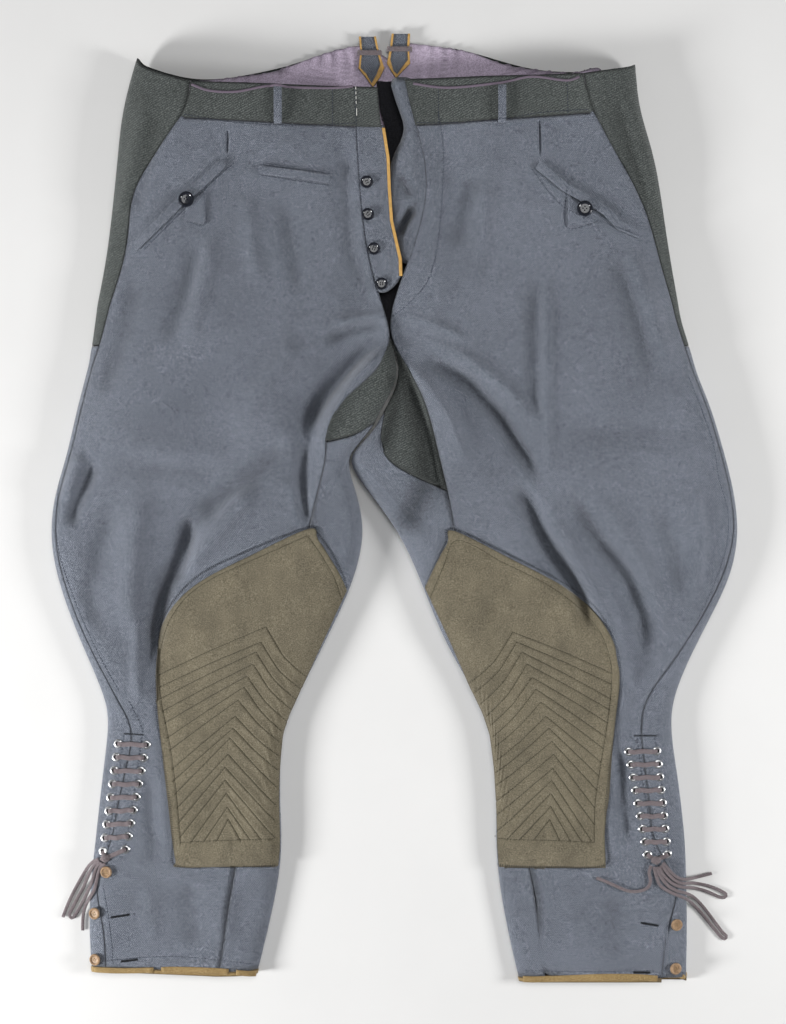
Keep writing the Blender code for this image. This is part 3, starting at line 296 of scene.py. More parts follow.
def woven(name, dark, middle, light, rib_mm, rib_turn, rib_share, heather_mm, patchy=0.12, sheen=0.25,
          depth_mm=0.35, uneven=1.2):
    """Wool or cotton: heathered yarn, diagonal or straight ribs, soft uneven tone, and painted shade where
    the piece's shade attribute says so.
    """
    finish, tree, shader, coordinates = new_finish(name, 0.9, sheen)
    heather = grain(tree, coordinates, heather_mm, 3.0)
    colour = stops(tree, heather, (0.4, dark), (0.5, middle), (0.62, light))
    fleck = stops(tree, grain(tree, coordinates, heather_mm * 0.55, 1.0), (0.56, 0.0), (0.68, 1.0))
    colour = shaded(tree, colour, (*light, 1.0), scaled(tree, fleck, FLECK_SHARE))
    rib = ribs(tree, coordinates, rib_mm, rib_turn, uneven)
    colour = shaded(tree, colour, (*dark, 1.0), scaled(tree, rib, rib_share))
    blotch = stops(tree, grain(tree, coordinates, BLOTCH_MM, 4.0), (0.3, 1.0 - patchy), (0.7, 1.0 + patchy))
    colour = shaded(tree, colour, blotch, 1.0, "MULTIPLY")
    tree.links.new(with_painted_shade(tree, colour, 0.42), shader.inputs["Base Color"])
    height = tree.nodes.new("ShaderNodeMath")
    height.operation = "ADD"
    tree.links.new(rib, height.inputs[0])
    tree.links.new(heather, height.inputs[1])
    raised(tree, shader, height.outputs[0], 0.5, depth_mm)
    return finish


def napped(name, dark, middle, light):
    """Suede: short nap with light brushed patches, and painted shade where the piece's shade attribute says
    so.
    """
    finish, tree, shader, coordinates = new_finish(name, 0.95, 0.35)
    nap = grain(tree, coordinates, 1.1, 4.0)
    colour = stops(tree, nap, (0.3, dark), (0.52, middle), (0.74, light))
    brushed = stops(tree, grain(tree, coordinates, 28.0, 5.0, (1.0, 0.6, 1.0)), (0.32, 0.78), (0.7, 1.16))
    colour = shaded(tree, colour, brushed, 1.0, "MULTIPLY")
    tree.links.new(with_painted_shade(tree, colour, 0.6), shader.inputs["Base Color"])
    raised(tree, shader, nap, 0.55, 0.3)
    return finish


def plain(name, colour, roughness, spread=0.15, size_mm=3.0, depth_mm=0.1, metallic=0.0, sheen=0.0, coat=0.0):
    """A smooth finish with slight unevenness, for leather, horn, metal and thread."""
    finish, tree, shader, coordinates = new_finish(name, roughness, sheen, metallic)
    patch = grain(tree, coordinates, size_mm, 4.0)
    low = tuple(channel * (1.0 - spread) for channel in colour)
    high = tuple(min(1.0, channel * (1.0 + spread)) for channel in colour)
    tree.links.new(stops(tree, patch, (0.3, low), (0.7, high)), shader.inputs["Base Color"])
    raised(tree, shader, patch, 0.35, depth_mm)
    if coat:
        shader.inputs["Coat Weight"].default_value = coat
    return finish


WOOL = woven("blue_grey_wool", (0.042, 0.05, 0.066), (0.144, 0.161, 0.2), (0.38, 0.41, 0.47),
             1.7, 38, 0.55, 0.85, depth_mm=0.6)
TWILL = woven("grey_green_twill", (0.032, 0.036, 0.035), (0.084, 0.094, 0.091), (0.165, 0.18, 0.17),
              2.3, 62, 0.6, 1.1, 0.12, 0.15, 0.5, 0.6)
LINING = woven("mauve_lining", (0.36, 0.29, 0.38), (0.58, 0.48, 0.62), (0.76, 0.66, 0.8), 1.2, 0, 0.22,
               0.9, 0.15, 0.3, 0.15)
BINDING = woven("hem_tape", (0.2, 0.13, 0.045), (0.32, 0.215, 0.09), (0.45, 0.33, 0.16),
                0.9, 0, 0.3, 0.7, 0.12)
LACE = woven("flat_lace", (0.1, 0.078, 0.082), (0.19, 0.155, 0.165), (0.3, 0.26, 0.27),
             0.8, 45, 0.35, 0.6, 0.1)
SUEDE = napped("suede", (0.08, 0.067, 0.041), (0.165, 0.142, 0.096), (0.29, 0.258, 0.188))
LEATHER = plain("edge_leather", (0.56, 0.33, 0.1), 0.55, 0.25, 2.0)
EYELET = plain("eyelet_metal", (0.82, 0.83, 0.84), 0.25, 0.08, 2.0, 0.05, 1.0)
# Near-black painted shadow for the insides of the eyelets and the buttonhole slits
HOLE_SHADOW = plain("eyelet_shadow", (0.008, 0.008, 0.01), 0.9, 0.2, 2.0)
# A near-black cloth finish whose colour is painted shade for the deep shade inside the waist
INSIDE_SHADE = woven("inside_shade_cloth", (0.006, 0.006, 0.008), (0.014, 0.014, 0.018), (0.03, 0.03, 0.036),
               1.2, 20, 0.2, 0.9, 0.2, 0.2, 0.15)
BLACK = plain("black_button", (0.01, 0.012, 0.018), 0.22, 0.3, 2.0, 0.05, 0.0, 0.0, 0.6)
HORN = plain("horn_button", (0.34, 0.225, 0.135), 0.4, 0.4, 2.2)
DARK_THREAD = plain("dark_thread", (0.015, 0.017, 0.02), 0.8, 0.3, 0.6)
BLUE_THREAD = plain("blue_thread", (0.04, 0.046, 0.065), 0.8, 0.3, 0.6)
WHITE_THREAD = plain("white_thread", (0.78, 0.77, 0.73), 0.8, 0.1, 0.6)
TAN_THREAD = plain("tan_thread", (0.3, 0.2, 0.09), 0.8, 0.2, 0.6)
MOSS_THREAD = plain("moss_thread", (0.035, 0.032, 0.016), 0.85, 0.3, 0.6)
PIPING = plain("mauve_piping", (0.15, 0.118, 0.155), 0.7, 0.2, 1.0, 0.15)


for lace_name in LACE_ENDS:
    free_lace(lace_name, LACE)


# ---- modelling helpers
def select_only(*pieces):
    bpy.ops.object.select_all(action="DESELECT")
    for piece in pieces:
        piece.select_set(True)
    bpy.context.view_layer.objects.active = pieces[0]


def apply_all(piece):
    select_only(piece)
    for modifier in list(piece.modifiers):
        bpy.ops.object.modifier_apply(modifier=modifier.name)


def copied(name, title):
    """A copy of a CAD node's mesh as an object of its own, with its doubles merged."""
    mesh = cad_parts[name].data.copy()
    piece = bpy.data.objects.new(title, mesh)
    bpy.context.scene.collection.objects.link(piece)
    mesh.materials.clear()
    select_only(piece)
    bpy.ops.object.mode_set(mode="EDIT")
    bpy.ops.mesh.select_all(action="SELECT")
    bpy.ops.mesh.remove_doubles(threshold=1e-6)
    bpy.ops.object.mode_set(mode="OBJECT")
    return piece


SIDE_ANGLE = math.radians(62)
EYELET_ROUND = 0.022
SLIT_ROUND = 0.15


def faces_by_side(bm, angle):
    """Groups of faces that join without a sharp edge, the largest first."""
    waiting, groups = dict.fromkeys(bm.faces), []
    while waiting:
        reach = [waiting.popitem()[0]]
        group = []
        while reach:
            face = reach.pop()
            group.append(face)
            for edge in face.edges:
                if len(edge.link_faces) == 2 and edge.calc_face_angle(0.0) < angle:
                    other = edge.link_faces[0] if edge.link_faces[1] is face else edge.link_faces[1]
                    if other in waiting:
                        del waiting[other]
                        reach.append(other)
        groups.append(group)
    return sorted(groups, key=lambda group: -sum(face.calc_area() for face in group))


def keep_outer(piece, top_only):
    """Leaves only the side of a wall that shows, with its eyelet holes drawn shut."""
    bm = bmesh.new()
    bm.from_mesh(piece.data)
    groups = faces_by_side(bm, SIDE_ANGLE)[:2]
    if top_only:
        groups.sort(key=lambda group: -sum(f.calc_center_median().z * f.calc_area() for f in group)
                    / sum(f.calc_area() for f in group))
    keep = set(groups[0])
    bmesh.ops.delete(bm, geom=[face for face in bm.faces if face not in keep], context="FACES")
    for loop in boundary_loops(bm):
        if EYELET_ROUND < sum(edge.calc_length() for edge in loop) < SLIT_ROUND:
            bmesh.ops.holes_fill(bm, edges=loop, sides=0)
    for loop in boundary_loops(bm):
        if sum(edge.calc_length() for edge in loop) < EYELET_ROUND:
            verts = dict.fromkeys(vert for edge in loop for vert in edge.verts)
            middle = sum((vert.co for vert in verts), Vector()) / len(verts)
            bmesh.ops.pointmerge(bm, verts=list(verts), merge_co=middle)
    bmesh.ops.join_triangles(bm, faces=bm.faces, angle_face_threshold=math.radians(50),
                             angle_shape_threshold=math.radians(60))
    bmesh.ops.recalc_face_normals(bm, faces=bm.faces)
    bm.to_mesh(piece.data)
    bm.free()


def boundary_loops(bm):
    """The open edges of a mesh, each ring of them in a list of its own."""
    waiting = dict.fromkeys(edge for edge in bm.edges if edge.is_boundary)
    loops = []
    while waiting:
        reach, loop = [waiting.popitem()[0]], []
        while reach:
            edge = reach.pop()
            loop.append(edge)
            for vert in edge.verts:
                for other in vert.link_edges:
                    if other in waiting:
                        del waiting[other]
                        reach.append(other)
        loops.append(loop)
    return loops


LOW_RIM = 6 * MM
LOW_RIM_REACH = 2.5 * MM
FIT_ROUNDS = 2
FIT_SHARE = 0.9


def fit_through(piece, levels, low_rim=False):
    """Subdivides so that the smooth surface still passes through the wall's own points.

    A low rim is held in, because a smooth surface round its sharp edge would swell outwards.
    """
    smooth = piece.modifiers.new("Subdivision", "SUBSURF")
    smooth.levels = smooth.render_levels = levels
    smooth.boundary_smooth = "PRESERVE_CORNERS"
    wanted = [vert.co.copy() for vert in piece.data.vertices]
    for _ in range(FIT_ROUNDS):
        seen = piece.evaluated_get(bpy.context.evaluated_depsgraph_get()).to_mesh()
        found = [seen.vertices[i].co.copy() for i in range(len(wanted))]
        for vert, goal, place in zip(piece.data.vertices, wanted, found):
            vert.co += (goal - place) * FIT_SHARE
            drift = vert.co - goal
            if low_rim and goal.z < LOW_RIM and drift.length > LOW_RIM_REACH:
                vert.co = goal + drift * (LOW_RIM_REACH / drift.length)
        piece.data.update()
        bpy.context.view_layer.update()
    apply_all(piece)


FOOT_WIDTH = 14
FOOT_RISE = 15
TUCK_DROP = 0.8


def rounded_foot(piece):
    """Draws the button stand's lower end up towards its leather edge, in one curve."""
    for vert in piece.data.vertices:
        start, foot = at(0, 262)[1], at(0, 294)[1]
        low = min(1.0, max(0.0, (start - vert.co.y) / (start - foot)))
        inner = min(1.0, max(0.0, (vert.co.x - at(384, 0)[0]) / (FOOT_WIDTH * VIEW_STEP)))
        vert.co.y += low * low * inner ** 1.5 * FOOT_RISE * VIEW_STEP
    piece.data.update()


def tucked(piece, reach):
    """Draws a piece's edge outwards and down, so that it runs under the cloth beside it."""
    bm = bmesh.new()
    bm.from_mesh(piece.data)
    rim = [edge for edge in bm.edges if edge.is_boundary]
    outward = {}
    for edge in rim:
        face = edge.link_faces[0]
        way = (edge.verts[0].co + edge.verts[1].co) / 2 - face.calc_center_median()
        along = (edge.verts[1].co - edge.verts[0].co).normalized()
        way = (way - along * way.dot(along)).normalized()
        for vert in edge.verts:
            outward[vert.index] = outward.get(vert.index, Vector()) + way
    made = bmesh.ops.extrude_edge_only(bm, edges=rim)
    fresh = [item for item in made["geom"] if isinstance(item, bmesh.types.BMVert)]
    bm.verts.ensure_lookup_table()
    for vert in fresh:
        twin = min((edge.other_vert(vert) for edge in vert.link_edges if edge.other_vert(vert) not in fresh),
                   key=lambda other: (other.co - vert.co).length)
        way = outward.get(twin.index, Vector()).normalized()
        vert.co += way * reach * MM + Vector((0, 0, -TUCK_DROP * MM))
    bmesh.ops.recalc_face_normals(bm, faces=bm.faces)
    bm.to_mesh(piece.data)
    bm.free()


# Creases: half width and height in millimetres, and the way that each runs in the view
CREASES = (
    (8, -2.6, ((382, 330), (350, 366), (322, 400), (300, 438))),
    (6, -1.7, ((306, 440), (301, 480), (306, 514), (312, 530))),
    (7, 2.0, ((392, 340), (356, 380), (330, 420), (314, 462))),
    (6, -1.4, ((384, 322), (350, 330), (322, 344))),
    (5, 1.0, ((386, 316), (356, 319), (334, 326))),
    (12, 1.6, ((304, 334), (266, 384), (236, 440))),
    (13, -1.5, ((292, 440), (250, 476), (212, 506), (192, 524))),
    (9, -3.0, ((204, 508), (191, 524), (185, 556), (168, 584), (158, 622), (154, 668))),
    (11, 2.0, ((262, 484), (232, 514), (208, 545), (180, 578))),
    (13, 1.5, ((150, 486), (136, 530), (132, 580), (132, 640))),
    (7, -1.7, ((98, 458), (90, 480), (78, 506), (72, 530))),
    (8, 1.2, ((84, 452), (74, 478), (66, 504))),
    (11, -1.0, ((118, 500), (104, 540), (92, 590), (104, 640))),
    (7, 1.0, ((140, 610), (138, 660), (140, 706))),
    (11, -0.5, ((226, 466), (192, 472), (150, 468), (112, 460))),
    (12, 0.5, ((232, 446), (180, 452), (120, 446))),
    (10, 1.1, ((216, 236), (206, 290), (188, 350))),
    (10, -1.0, ((200, 236), (188, 290), (166, 350))),
    (10, -0.9, ((140, 270), (128, 330), (104, 400))),
    (9, 0.8, ((248, 192), (252, 240), (262, 290))),
    (10, -0.8, ((284, 196), (294, 250), (300, 300))),
    (7, -0.9, ((344, 140), (346, 190), (352, 250), (366, 300))),
    (9, 1.0, ((286, 476), (298, 500), (300, 526))),
    (6, -0.8, ((150, 770), (152, 820), (158, 870))),
    (9, 0.7, ((150, 880), (152, 920), (156, 950))),
    (10, -0.8, ((190, 880), (192, 920), (196, 952))),
    (9, 0.8, ((232, 880), (228, 920), (224, 952))),
    (6, 1.3, ((546, 262), (545, 340), (545, 420), (549, 490))),
    (10, -0.8, ((534, 270), (532, 340), (534, 430))),
    (12, -0.5, ((558, 434), (620, 430), (690, 436))),
    (11, 0.4, ((556, 456), (620, 455), (694, 460))),
    (8, -2.4, ((408, 340), (436, 364), (470, 386), (500, 420), (526, 458), (544, 492))),
    (8, 1.7, ((402, 352), (426, 384), (450, 420), (468, 470))),
    (6, -1.9, ((398, 350), (414, 388), (428, 430), (438, 480), (446, 512))),
    (9, 1.4, ((424, 340), (470, 362), (512, 396), (548, 440))),
    (6, 0.9, ((404, 318), (436, 326), (470, 344))),
    (10, -1.0, ((474, 170), (466, 210), (452, 250))),
    (9, 1.0, ((486, 180), (482, 240), (470, 300))),
    (9, -1.1, ((610, 250), (630, 310), (650, 380))),
    (9, 1.0, ((626, 244), (650, 310), (672, 380))),
    (9, -2.6, ((514, 474), (523, 500), (538, 532), (560, 562), (580, 596), (594, 640))),
    (10, 2.0, ((540, 478), (554, 522), (584, 572), (608, 622), (622, 690), (626, 730))),
    (9, -1.8, ((568, 478), (577, 506), (599, 544), (628, 578), (643, 616), (645, 668))),
    (10, 1.5, ((596, 492), (626, 540), (652, 590), (660, 630))),
    (9, -1.1, ((650, 500), (672, 550), (680, 600))),
    (7, 1.2, ((690, 480), (700, 540), (690, 600))),
    (5, -1.0, ((616, 740), (622, 800), (628, 850))),
    (5, 0.9, ((606, 750), (612, 810), (616, 860))),
    (9, 0.8, ((570, 880), (574, 920), (580, 960))),
    (9, -0.8, ((610, 890), (612, 930), (616, 962))),
    (8, -0.9, ((164, 96), (152, 160), (134, 220))),
    (9, 0.9, ((150, 90), (136, 160), (120, 230))),
    (8, -0.9, ((612, 96), (630, 160), (650, 220))),
    (9, 0.9, ((626, 92), (644, 160), (664, 230))),
    (1.3, -0.9, ((229.5, 133), (229, 146), (228.5, 158))),
    (1.3, -0.9, ((538, 123), (538.5, 140), (539, 160))),
)
# Width in millimetres of the painted shade along a piece's edges and seams
SHADE_MM = 1.2
CREASE_SCALE = 3.9
CREASE_FADE = 0.22
# Soft unevenness of the cloth: height in millimetres, waves in a metre across and along, start
WAVES = ((1.8, 15, 10, 1.3), (0.5, 42, 30, 7.7), (0.16, 120, 95, 3.1))
HEM_LINE = -0.492
HEM_CALM = 0.06
# Painted shade where the cloth lies deep between the legs: half width in millimetres, how dark the painted
# shade is, and path
PAINTED_DEEP_SHADE = (
    (13, 0.95, ((394, 345), (404, 372), (409, 400), (420, 440), (425, 480), (408, 520))),
    (9, 0.9, ((394, 380), (398, 400), (384, 440))),
    (8, 0.7, ((346, 385), (322, 425), (310, 470), (311, 525))),
)


def near_lines(xs, ys, path):
    """Distance in millimetres to a path, and how far along it the nearest place is."""
    best = np.full(xs.shape, 1e9)
    along = np.zeros(xs.shape)
    points = [at(*place) for place in path]
    lengths = [math.dist(a, b) for a, b in zip(points, points[1:])]
    start = 0.0
    for (ax, ay), (bx, by), length in zip(points, points[1:], lengths):
        run, climb = bx - ax, by - ay
        share = np.clip(((xs - ax) * run + (ys - ay) * climb) / (length * length), 0, 1)
        away = np.hypot(xs - ax - share * run, ys - ay - share * climb)
        nearer = away < best
        best = np.where(nearer, away, best)
        along = np.where(nearer, (start + share * length) / sum(lengths), along)
        start += length
    return best / MM, along


def creases(xs, ys):
    """Height in millimetres of the creases alone."""
    total = np.zeros(xs.shape)
    for width, height, path in CREASES:
        away, along = near_lines(xs, ys, path)
        fade = np.clip(np.minimum(along, 1.0 - along) / CREASE_FADE, 0.0, 1.0)
        total += CREASE_SCALE * height * np.exp(-((away / width) ** 2)) * fade * fade * (3 - 2 * fade)
    return total


def relief(xs, ys):
    """Height in metres that the cloth on top rises or sinks by, at each place."""
    waves = np.array([sum(height * noise.noise(Vector((x * across, y * along, start)))
                          for height, across, along, start in WAVES) for x, y in zip(xs, ys)])
    calm = np.clip((ys - HEM_LINE) / HEM_CALM, 0.0, 1.0)
    return (creases(xs, ys) + waves) * calm * calm * (3 - 2 * calm) * MM


# The knee patches' sewn rows in the view: start at the outer stitch, apex, end on the inner side
QUILT_ROWS = {
    "l": (
        (160, 674, 267, 626, 308, 678), (161, 686, 262, 641, 301, 689), (161, 698, 257, 651, 296, 699),
        (164, 710, 254, 663, 291, 709), (166, 722, 248, 675, 287, 721), (168, 737, 245, 686, 281, 730),
        (171, 749, 239, 699, 279, 741), (173, 768, 236, 715, 278, 755), (174, 780, 234, 727, 278, 770),
        (176, 793, 231, 737, 277, 787), (178, 807, 229, 753, 276, 805), (180, 821, 226, 766, 275, 820),
        (181, 836, 226, 779, 275, 837), (192, 841, 227, 792, 262, 839), (205, 840, 228, 806, 251, 839),
        (218, 839, 229, 818, 241, 839)),
    "r": (
        (610, 672, 512, 631, 469, 683), (610, 683, 516, 641, 475, 692), (610, 698, 521, 651, 481, 703),
        (609, 709, 526, 663, 487, 715), (607, 722, 531, 676, 491, 724), (605, 736, 535, 688, 493, 736),
        (602, 747, 540, 701, 495, 746), (600, 761, 545, 715, 496, 760), (598, 775, 548, 727, 496, 772),
        (596, 789, 551, 740, 496, 785), (594, 807, 553, 753, 496, 801), (594, 824, 552, 767, 496, 815),
        (591, 840, 551, 779, 496, 832), (581, 840, 550, 792, 507, 838), (570, 840, 550, 805, 520, 838),
        (559, 839, 549, 818, 534, 838)),
}
PATCH_STITCH = {
    "l": ((181.6, 843), (178, 801), (172, 750), (163, 704), (159, 668), (163, 643), (171, 620),
          (188.5, 596),
          (216.5, 576.5), (262, 556), (308, 535.5), (322, 555), (335, 578), (342, 600)),
    "r": ((593.5, 842), (594, 806), (597, 781), (602, 750), (607, 717), (610, 686), (609, 662), (600, 634),
          (580, 609), (546, 584), (500, 561), (457, 540), (443, 566), (429, 601)),
}
PATCH_FOOT_STITCH = {"l": ((181, 841), (228, 839), (275, 838)), "r": ((495, 838), (545, 839), (594, 841))}


ROWS = 16
PATCH_CORNER = 10
QUILT_GROOVE = (0.75, 0.9)
BORDER_GROOVE = (0.6, 1.1)


def quilt_row(side, number):
    """One sewn V of a knee patch: its outer arm bows up and its inner one sags towards the hem."""
    ax, ay, bx, by, cx, cy = QUILT_ROWS[side][number]
    sag = max(0.0, 3.6 - 0.36 * number)
    lean = 1.0 if side == "l" else -1.0
    outer = ((ax + bx) / 2, (ay + by) / 2 - 0.35 * sag)
    inner = ((bx + cx) / 2 - 0.8 * sag * lean, (by + cy) / 2 + sag)
    return ((ax, ay), outer, (bx, by), inner, (cx, cy))


def quilting(side):
    """Grooves along the patch's sewn rows, and the fill that stands up between them."""
    lines = [quilt_row(side, number) for number in range(ROWS)]
    borders = PATCH_STITCH[side], PATCH_FOOT_STITCH[side]

    def height(xs, ys):
        groove = 0.0
        for paths, (depth, width) in ((lines, QUILT_GROOVE), (borders, BORDER_GROOVE)):
            away = np.min([near_lines(xs, ys, path)[0] for path in paths], axis=0)
            groove = groove + depth * np.exp(-((away / width) ** 2))
        return -groove * MM

    return height


WRINKLE_STEP = 13.0
WRINKLE_HEIGHT = 1.5
TAPE_FILL = 0.7
# How thick the garment lies, in millimetres, at places up its length in metres
THICK_AT = ((-0.5, -0.24, 0.0, 0.2, 0.47), (14, 20, 29, 31, 36))


def lining_wrinkles(xs, ys):
    """Small upright wrinkles where the back lining is gathered on its band."""
    drift = np.array([noise.noise(Vector((x * 9, y * 14, 5.0))) for x, y in zip(xs, ys)])
    swell = 0.5 + 0.5 * np.sin(xs / MM / 17.0 + 4 * drift)
    fine = np.sin((xs / MM + 9 * drift) * 2 * math.pi / WRINKLE_STEP) * swell
    return WRINKLE_HEIGHT * fine * MM


def upper_share(ys, zs):
    """1 on the upper side of the legs, falling to 0 at their widest points and underneath."""
    thickness = np.interp(ys, *THICK_AT) * MM
    share = np.clip((zs - 0.42 * thickness) / (0.33 * thickness), 0.0, 1.0)
    return share * share * (3 - 2 * share)


def coordinates(mesh):
    """The places of a mesh's points, one a row."""
    flat = np.empty(len(mesh.vertices) * 3)
    mesh.vertices.foreach_get("co", flat)
    return flat.reshape(-1, 3)


def put_back(mesh, places):
    mesh.vertices.foreach_set("co", places.ravel())
    mesh.update()


def tape_fill(xs, _):
    """The hem tape's even thickness over the cloth that it binds."""
    return np.full(xs.shape, TAPE_FILL * MM)


FACING_FOLDS = (
    (4.5, -6.0, ((396, 238), (404, 224), (415, 207))),
    (4, 1.4, ((394, 225), (402, 210), (410, 196))),
    (5, -1.6, ((398, 175), (406, 190), (412, 200))),
    (4, 1.2, ((408, 240), (402, 255), (398, 270))),
)


def facing_folds(xs, ys):
    """The facing of the fly's open side: one deep fold and the soft rolls beside it."""
    total = np.zeros(xs.shape)
    for width, height, path in FACING_FOLDS:
        away, along = near_lines(xs, ys, path)
        fade = np.clip(np.minimum(along, 1.0 - along) / 0.2, 0.15, 1.0)
        total += height * np.exp(-((away / width) ** 2)) * fade
    return total * MM


# How much shade is painted into the cloth: depth of a fold whose painted shade is full, the most that a
# fold's painted shade darkens, and the depth of a sewn groove whose painted shade is full, in millimetres;
# and the width of a seam's dip
FOLD_DEPTH = 13.0
FOLD_SHADE = 0.56
GROOVE_DEPTH = 2.4
SEAM_WIDTH = 1.3


def rumple(piece, edge_dip, sewn):
    """Moves a piece's points by the creases, sinks its seams, and paints shade near the seams, in sewn
    grooves, in folds and deep between the legs.
    """
    mesh = piece.data
    places = coordinates(mesh)
    upper = upper_share(places[:, 1], places[:, 2])
    painted_fold_shade = np.clip(-creases(places[:, 0], places[:, 1]) / FOLD_DEPTH, 0.0, FOLD_SHADE) * upper
    places[:, 2] += relief(places[:, 0], places[:, 1]) * upper
    depth = np.zeros(len(places))
    if sewn:
        depth = sewn(places[:, 0], places[:, 1])
        places += np.array([vert.normal for vert in mesh.vertices]) * depth[:, None]
    bm = bmesh.new()
    bm.from_mesh(mesh)
    rim = [vert.co.copy() for vert in bm.verts if vert.is_boundary]
    bm.free()
    tree = KDTree(len(rim))
    for index, place in enumerate(rim):
        tree.insert(place, index)
    tree.balance()
    away = np.array([tree.find(vert.co)[2] for vert in mesh.vertices]) / MM
    normals = np.array([vert.normal for vert in mesh.vertices])
    dip = np.exp(-((away / SEAM_WIDTH) ** 2)) * edge_dip * MM * np.where(places[:, 2] > 0.002, 1.0, 0.0)
    places -= normals * dip[:, None]
    # Painted shade: darker near the piece's edges and seams, in sewn grooves, in the creases' valleys and
    # where the cloth lies deep between the legs
    shade = np.maximum(np.exp(-((away / SHADE_MM) ** 2)), np.clip(-depth / (GROOVE_DEPTH * MM), 0.0, 1.0))
    shade = np.maximum(shade, painted_fold_shade)
    for width, dark, path in PAINTED_DEEP_SHADE if piece.name.startswith(("seat", "back")) else ():
        away, _ = near_lines(places[:, 0], places[:, 1], path)
        shade = np.maximum(shade, dark * np.exp(-((away / width) ** 2)))
    attribute = mesh.attributes.new("shade", "FLOAT", "POINT")
    attribute.data.foreach_set("value", shade)
    places[:, 2] = np.maximum(places[:, 2], 0.0)
    put_back(mesh, places)


RIM = 1.3


def panel(name, finish, slot, levels, top_only=True, edge_dip=0.25, sewn=None, tuck=0.0):
    """One cloth piece on the form of its CAD node: its outer side, smooth, creased and rimmed."""
    piece = copied(name, f"{name}_cloth")
    keep_outer(piece, top_only)
    fit_through(piece, levels, low_rim=not top_only)
    if name == "fly_stand":
        rounded_foot(piece)
    if tuck:
        tucked(piece, tuck)
    rumple(piece, edge_dip, sewn)
    edge = piece.modifiers.new("Rim", "SOLIDIFY")
    edge.thickness = RIM * MM
    edge.offset = -1.0
    edge.use_rim_only = True
    edge.use_rim = True
    apply_all(piece)
    places = coordinates(piece.data)
    places[:, 2] = np.maximum(places[:, 2], 0.0)
    put_back(piece.data, places)
    finished(piece, finish, 50)
    dressed(piece, slot, name)
    return piece


def finished(piece, finish, smooth_angle):
    """Gives a piece its material and smooth shading, but for its sharp edges."""
    piece.data.materials.append(finish)
    select_only(piece)
    bpy.ops.object.shade_smooth_by_angle(angle=math.radians(smooth_angle))


def dressed(piece, slot, *nodes):
    """Makes a piece ride with the garment and stand for its CAD nodes, if it has any."""
    if nodes:
        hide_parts(*nodes)
    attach(piece, "root")
    return piece


def softened(name, finish, slot, bevel_mm, proud=0.0):
    """A small piece of cloth or leather: its CAD wall with rounded edges, on the creased cloth."""
    piece = copied(name, f"{name}_piece")
    bm = bmesh.new()
    bm.from_mesh(piece.data)
    bmesh.ops.join_triangles(bm, faces=bm.faces, angle_face_threshold=math.radians(30),
                             angle_shape_threshold=math.radians(60))
    bm.to_mesh(piece.data)
    bm.free()
    bevel = piece.modifiers.new("Bevel", "BEVEL")
    bevel.width = bevel_mm * MM
    bevel.segments = 2
    bevel.limit_method = "ANGLE"
    bevel.angle_limit = math.radians(50)
    fine = piece.modifiers.new("Subdivision", "SUBSURF")
    fine.subdivision_type = "SIMPLE"
    fine.levels = fine.render_levels = 2
    apply_all(piece)
    places = coordinates(piece.data)
    places[:, 2] += relief(places[:, 0], places[:, 1]) * upper_share(places[:, 1], places[:, 2]) + proud * MM
    put_back(piece.data, places)
    finished(piece, finish, 40)
    return dressed(piece, slot, name)


# Cloth pieces of each side: finish, slot, smoothing levels, what they lie on, whether only the
# upper side shows, and how deep their seams sink
PANELS = (
    ("front", WOOL, "wool", 4, ("back_{}_cloth", "seat_{}_cloth"), True, 0.25),
    ("seat", TWILL, "twill", 3, ("floor",), False, 0.25),
    ("back", WOOL, "wool", 3, ("floor",), False, 0.25),
    ("waistband", TWILL, "twill", 3, ("front_{}_cloth",), True, 0.25),
    ("knee_patch", SUEDE, "suede", 4, ("front_{}_cloth",), True, 0.2),
    ("lining", LINING, "lining", 4, ("seat_{}_cloth",), True, 0.25),
    ("hem_binding", BINDING, "binding", 2, ("floor",), False, 0.2),
)
# Small pieces of each side: finish, slot, rounding and height over the cloth in millimetres
SMALL_PIECES = (
    ("tab", WOOL, "wool", 0.5, 0.0), ("tab_edge", LEATHER, "leather", 0.3, 0.0),
    ("tab_keeper", LACE, "lace", 0.3, 0.0), ("belt_loop", WOOL, "wool", 0.5, 1.4),
    ("pocket_welt", WOOL, "wool", 0.5, 0.9), ("pocket_tab", WOOL, "wool", 0.4, 0.5),
)
TOPS = []
for side in ("l", "r"):
    sewn_into = {"knee_patch": quilting(side), "lining": lining_wrinkles, "hem_binding": tape_fill}
    for part, finish, slot, levels, below, top_only, edge_dip in PANELS:
        TOPS.append(panel(f"{part}_{side}", finish, slot, levels,
                          top_only, edge_dip, sewn_into.get(part)))
TOPS.append(panel("fly_stand", WOOL, "wool", 3, tuck=3.2))
TOPS.append(panel("fly_facing", WOOL, "wool", 4, sewn=facing_folds, tuck=6.5))
for side in ("l", "r"):
    for part, finish, slot, bevel_mm, proud in SMALL_PIECES:
        TOPS.append(softened(f"{part}_{side}", finish, slot, bevel_mm, proud))
TOPS.append(softened("watch_welt", WOOL, "wool", 0.4, 0.9))
TOPS.append(softened("fly_trim", LEATHER, "leather", 0.3))


def on_top(x, y):
    """The highest cloth at a place: its point and normal."""
    best = None
    for piece in TOPS:
        hit, point, normal, _ = piece.ray_cast(Vector((x, y, 0.1)), Vector((0, 0, -1)))
        if hit and (best is None or point.z > best[0].z):
            best = (point.copy(), normal.copy())
    return best or (Vector((x, y, 0.0)), Vector((0, 0, 1)))


